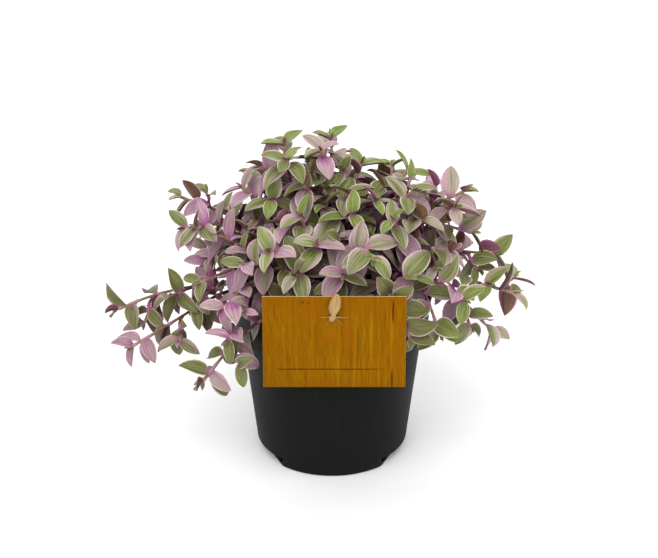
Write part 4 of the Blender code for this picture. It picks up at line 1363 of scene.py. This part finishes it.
# The same bending as in blade_spot, with a belly, a thickness and the plant's box added
root, along, upper, size, bend, lay = [named(label, "FLOAT_VECTOR")
                                       for label in ("root", "along", "upper", "size", "bend", "lay")]
length, width, droop = split(size)
fold, twist, curl = split(bend)
x, t, h = split(lay)
sag = droop * t
run = length * t
ahead = step("NORMALIZE", along * (1.0 - sag * BEND_BACK) - upper * (sag * BEND_DOWN))
across = signal("ShaderNodeVectorRotate",
                {0: step("NORMALIZE", step("CROSS_PRODUCT", along, upper)), 2: ahead, 3: twist * t},
                rotation_type="AXIS_ANGLE")
lift = step("CROSS_PRODUCT", across, ahead)
middle = (root + along * (run * (1.0 - sag * TIP_IN)) - upper * (run * (sag * TIP_SINK))
          + across * (run * (curl * t)))
half = x * width * 0.5
rise = abs(half) * fold + abs(x) * (1.0 - abs(x)) * (width * 0.16) + h * given["thickness"]
spot = step("MAXIMUM", middle + (across * half + lift * rise), given["lowest"])
leaves = signal("GeometryNodeSetPosition", {0: leaves, 2: step("MINIMUM", spot, given["highest"])})
leaves = signal("GeometryNodeSetMaterial", {0: leaves, 2: given["upper_skin"]})
leaves = signal("GeometryNodeSetMaterial", (leaves, is_under, given["under_skin"]))
grown = signal("GeometryNodeSetShadeSmooth", [together(leaves, tube)])
for label in ("root", "along", "upper", "size", "bend", "lay", "leaf", "girth", "under"):
    grown = signal("GeometryNodeRemoveAttribute", (grown, label))
node(growth, "NodeGroupOutput", [grown])

# Stems, and how leaf colours change: other pinks and a darkening on the low arms and the left, greener and
# with less painted shade on the open right and top, and painted shade on the low front and where other leaves
# lie over a leaf
STEP_ALONG = 0.0011
SIDE_STEM_RADIUS = 0.00100
GROWN_TIP_RADIUS = 0.00080
SHEATH_LENGTH = 0.0030
SHEATH_LIP = 0.0006
FOLIAGE_CENTRE = Vector((0.0, 0.0, 0.105))
# Painted shade: leaves lying further out over a leaf darken it, less on the open right and top
CROWD_AHEAD = 0.013
CROWD_REACH = 0.0125
CROWD_RISE = 0.0045
CROWD_FREE = 1.1
CROWD_SPAN = 3.8
OPEN_LIGHT = 2.9
# Darkening of the low arms and the left, and the painted shade of the low front leaves under the foliage
ARM_DARKENING = 0.34
LEFT_DARKENING = 0.12
FRONT_SHADE = 0.55
PINKNESS = (0.10, 0.22, 0.30, 0.48, 0.56, 0.62, 0.66)
ARM_SIDE = -0.062
ARM_HEIGHT = 0.118
BLUSH_SIDE = 0.04
OPEN_SIDE = 0.03
OPEN_HEIGHT = 0.150
FRONT_HALF = 0.055
FRONT_EDGE = -0.025
FRONT_HEIGHT = 0.134


def sheath_at(distance, nodes):
    """How much of a leaf's clasping sheath a stem has, at a distance from its tip."""
    below = [distance - back for back in nodes if -SHEATH_LIP < distance - back < SHEATH_LENGTH]
    return max([1.0 - max(0.0, gap) / SHEATH_LENGTH for gap in below], default=0.0)


middles = [leaf.root + leaf.along * (leaf.length * 0.5) for shoot in shoots for leaf in shoot.leaves]
crowd = KDTree(len(middles))
for number, middle in enumerate(middles):
    crowd.insert(middle, number)
crowd.balance()


def crowding(place):
    """How many leaves lie further out over a place."""
    out = ((place - FOLIAGE_CENTRE).normalized() + LIGHT * 0.45).normalized()
    near = crowd.find_range(place + out * CROWD_AHEAD, CROWD_REACH)
    return sum((middle - place).dot(out) > CROWD_RISE for middle, number, gap in near)


def leaf_tint(leaf, bias):
    """How pink a leaf is, its own seed, and its age value: its age up to 1, then from 1 to 2 painted shade
    where leaves lie over it and on the low front, and a darkening on the low arms and the left.
    """
    x, y, z = leaf.root
    area = 0.0
    if x < -BLUSH_SIDE and z > ARM_HEIGHT:
        area = 0.02
    elif x > BLUSH_SIDE or z > CROWN_HEIGHT:
        area = -0.06
    pinkness = PINKNESS[min(leaf.order + 1, len(PINKNESS) - 1)]
    pinkness += bias + area + looks.uniform(-0.36, 0.32)
    if looks.random() < (0.06 if x > LEFT_SIDE else 0.32 if z > ARM_HEIGHT else 0.24):
        pinkness += 0.6
    age_and_shade = min(1.0, max(0.0, 0.14 * (leaf.order + 1) + looks.uniform(-0.1, 0.2)))
    # Painted shade from the leaves lying further out over this one, less on the open right and top
    over = crowding(leaf.root + leaf.along * (leaf.length * 0.5))
    if x > OPEN_SIDE or z > OPEN_HEIGHT:
        over -= OPEN_LIGHT
    if leaf.order >= 0:
        age_and_shade += min(1.0, max(0.0, (over - CROWD_FREE) / CROWD_SPAN))
    # A darkening on the low arms and the left, and painted shade on the low front
    darkening = 0.0
    if x < ARM_SIDE and z < ARM_HEIGHT:
        darkening = ARM_DARKENING
        pinkness += 0.10 if leaf.order <= 1 else -0.36
    elif x < LEFT_SIDE:
        darkening = LEFT_DARKENING
    elif abs(x) < FRONT_HALF and y < FRONT_EDGE and z < FRONT_HEIGHT:
        darkening = FRONT_SHADE
    if darkening:
        age_and_shade = min(2.0, max(1.0, age_and_shade) + darkening)
    return min(1.4, max(0.0, pinkness)), looks.random(), age_and_shade


def stem_points(shoot):
    """Points along a stem, each with its girth and how much sheath it has."""
    line = lined(shoot.course[1:] if shoot.planted else shoot.course, max(8, int(shoot.total / STEP_ALONG)))
    if shoot.planted:
        line = [shoot.course[0], shoot.course[0].lerp(shoot.course[1], 0.5)] + line
    left = [0.0]
    for a, b in zip(line[::-1], line[-2::-1]):
        left.append(left[-1] + (a - b).length)
    left.reverse()
    points = []
    for k, point in enumerate(line):
        share = 1 - left[k] / max(left[0], 1e-6)
        wide = (STEM_RADIUS if shoot.planted else SIDE_STEM_RADIUS) * (1 - share) + GROWN_TIP_RADIUS * share
        sheath = sheath_at(left[k], shoot.nodes)
        height = share if shoot.planted else 0.45 + 0.55 * share
        points.append((point, {"girth": wide * (1 + 0.42 * sheath) * (0.75 if k == len(line) - 1 else 1.0),
                               "blade": (sheath, height, 0.0), "tint": (shoot.bias, 0.5, 0.5)}))
    return points


def leaf_point(leaf, bias):
    """A leaf's root with all that lays its blade out."""
    return leaf.root, {"root": leaf.root, "along": leaf.along, "upper": leaf.upper, "leaf": 1.0,
                       "size": (leaf.length, leaf.width, leaf.droop),
                       "bend": (leaf.fold, leaf.twist, leaf.curl), "tint": leaf_tint(leaf, bias)}


NOTHING = (0.0, 0.0, 0.0)
looks = random.Random(GROWTH_SEED + 5)
for number in range(len(SHOOTS)):
    name = f"leafy_stem_{number + 1:02d}"
    points, edges = [], []
    for shoot in (s for s in shoots if s.owner == number):
        stem = stem_points(shoot)
        edges += [(k, k + 1) for k in range(len(points), len(points) + len(stem) - 1)]
        points += stem
        points += [leaf_point(leaf, shoot.bias) for leaf in shoot.leaves]
    mesh = bpy.data.meshes.new(name + "_grown")
    mesh.from_pydata([place for place, values in points], edges, [])
    for key in ("root", "along", "upper", "size", "bend", "blade", "tint"):
        layer = mesh.attributes.new(key, "FLOAT_VECTOR", "POINT")
        layer.data.foreach_set("vector", [c for place, values in points for c in values.get(key, NOTHING)])
    for key in ("leaf", "girth"):
        layer = mesh.attributes.new(key, "FLOAT", "POINT")
        layer.data.foreach_set("value", [values.get(key, 0.0) for place, values in points])
    grown = bpy.data.objects.new(name + "_grown", mesh)
    bpy.context.scene.collection.objects.link(grown)
    follow_rule(grown, growth, flat_blade=flat_blade, thickness=BLADE_THICKNESS, lowest=cad_low,
                highest=cad_high, upper_skin=leaf_top, under_skin=leaf_under, stem_skin=stem_skin)
    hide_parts(name)
    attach(grown, "root")
bpy.data.objects.remove(flat_blade)

low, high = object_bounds()
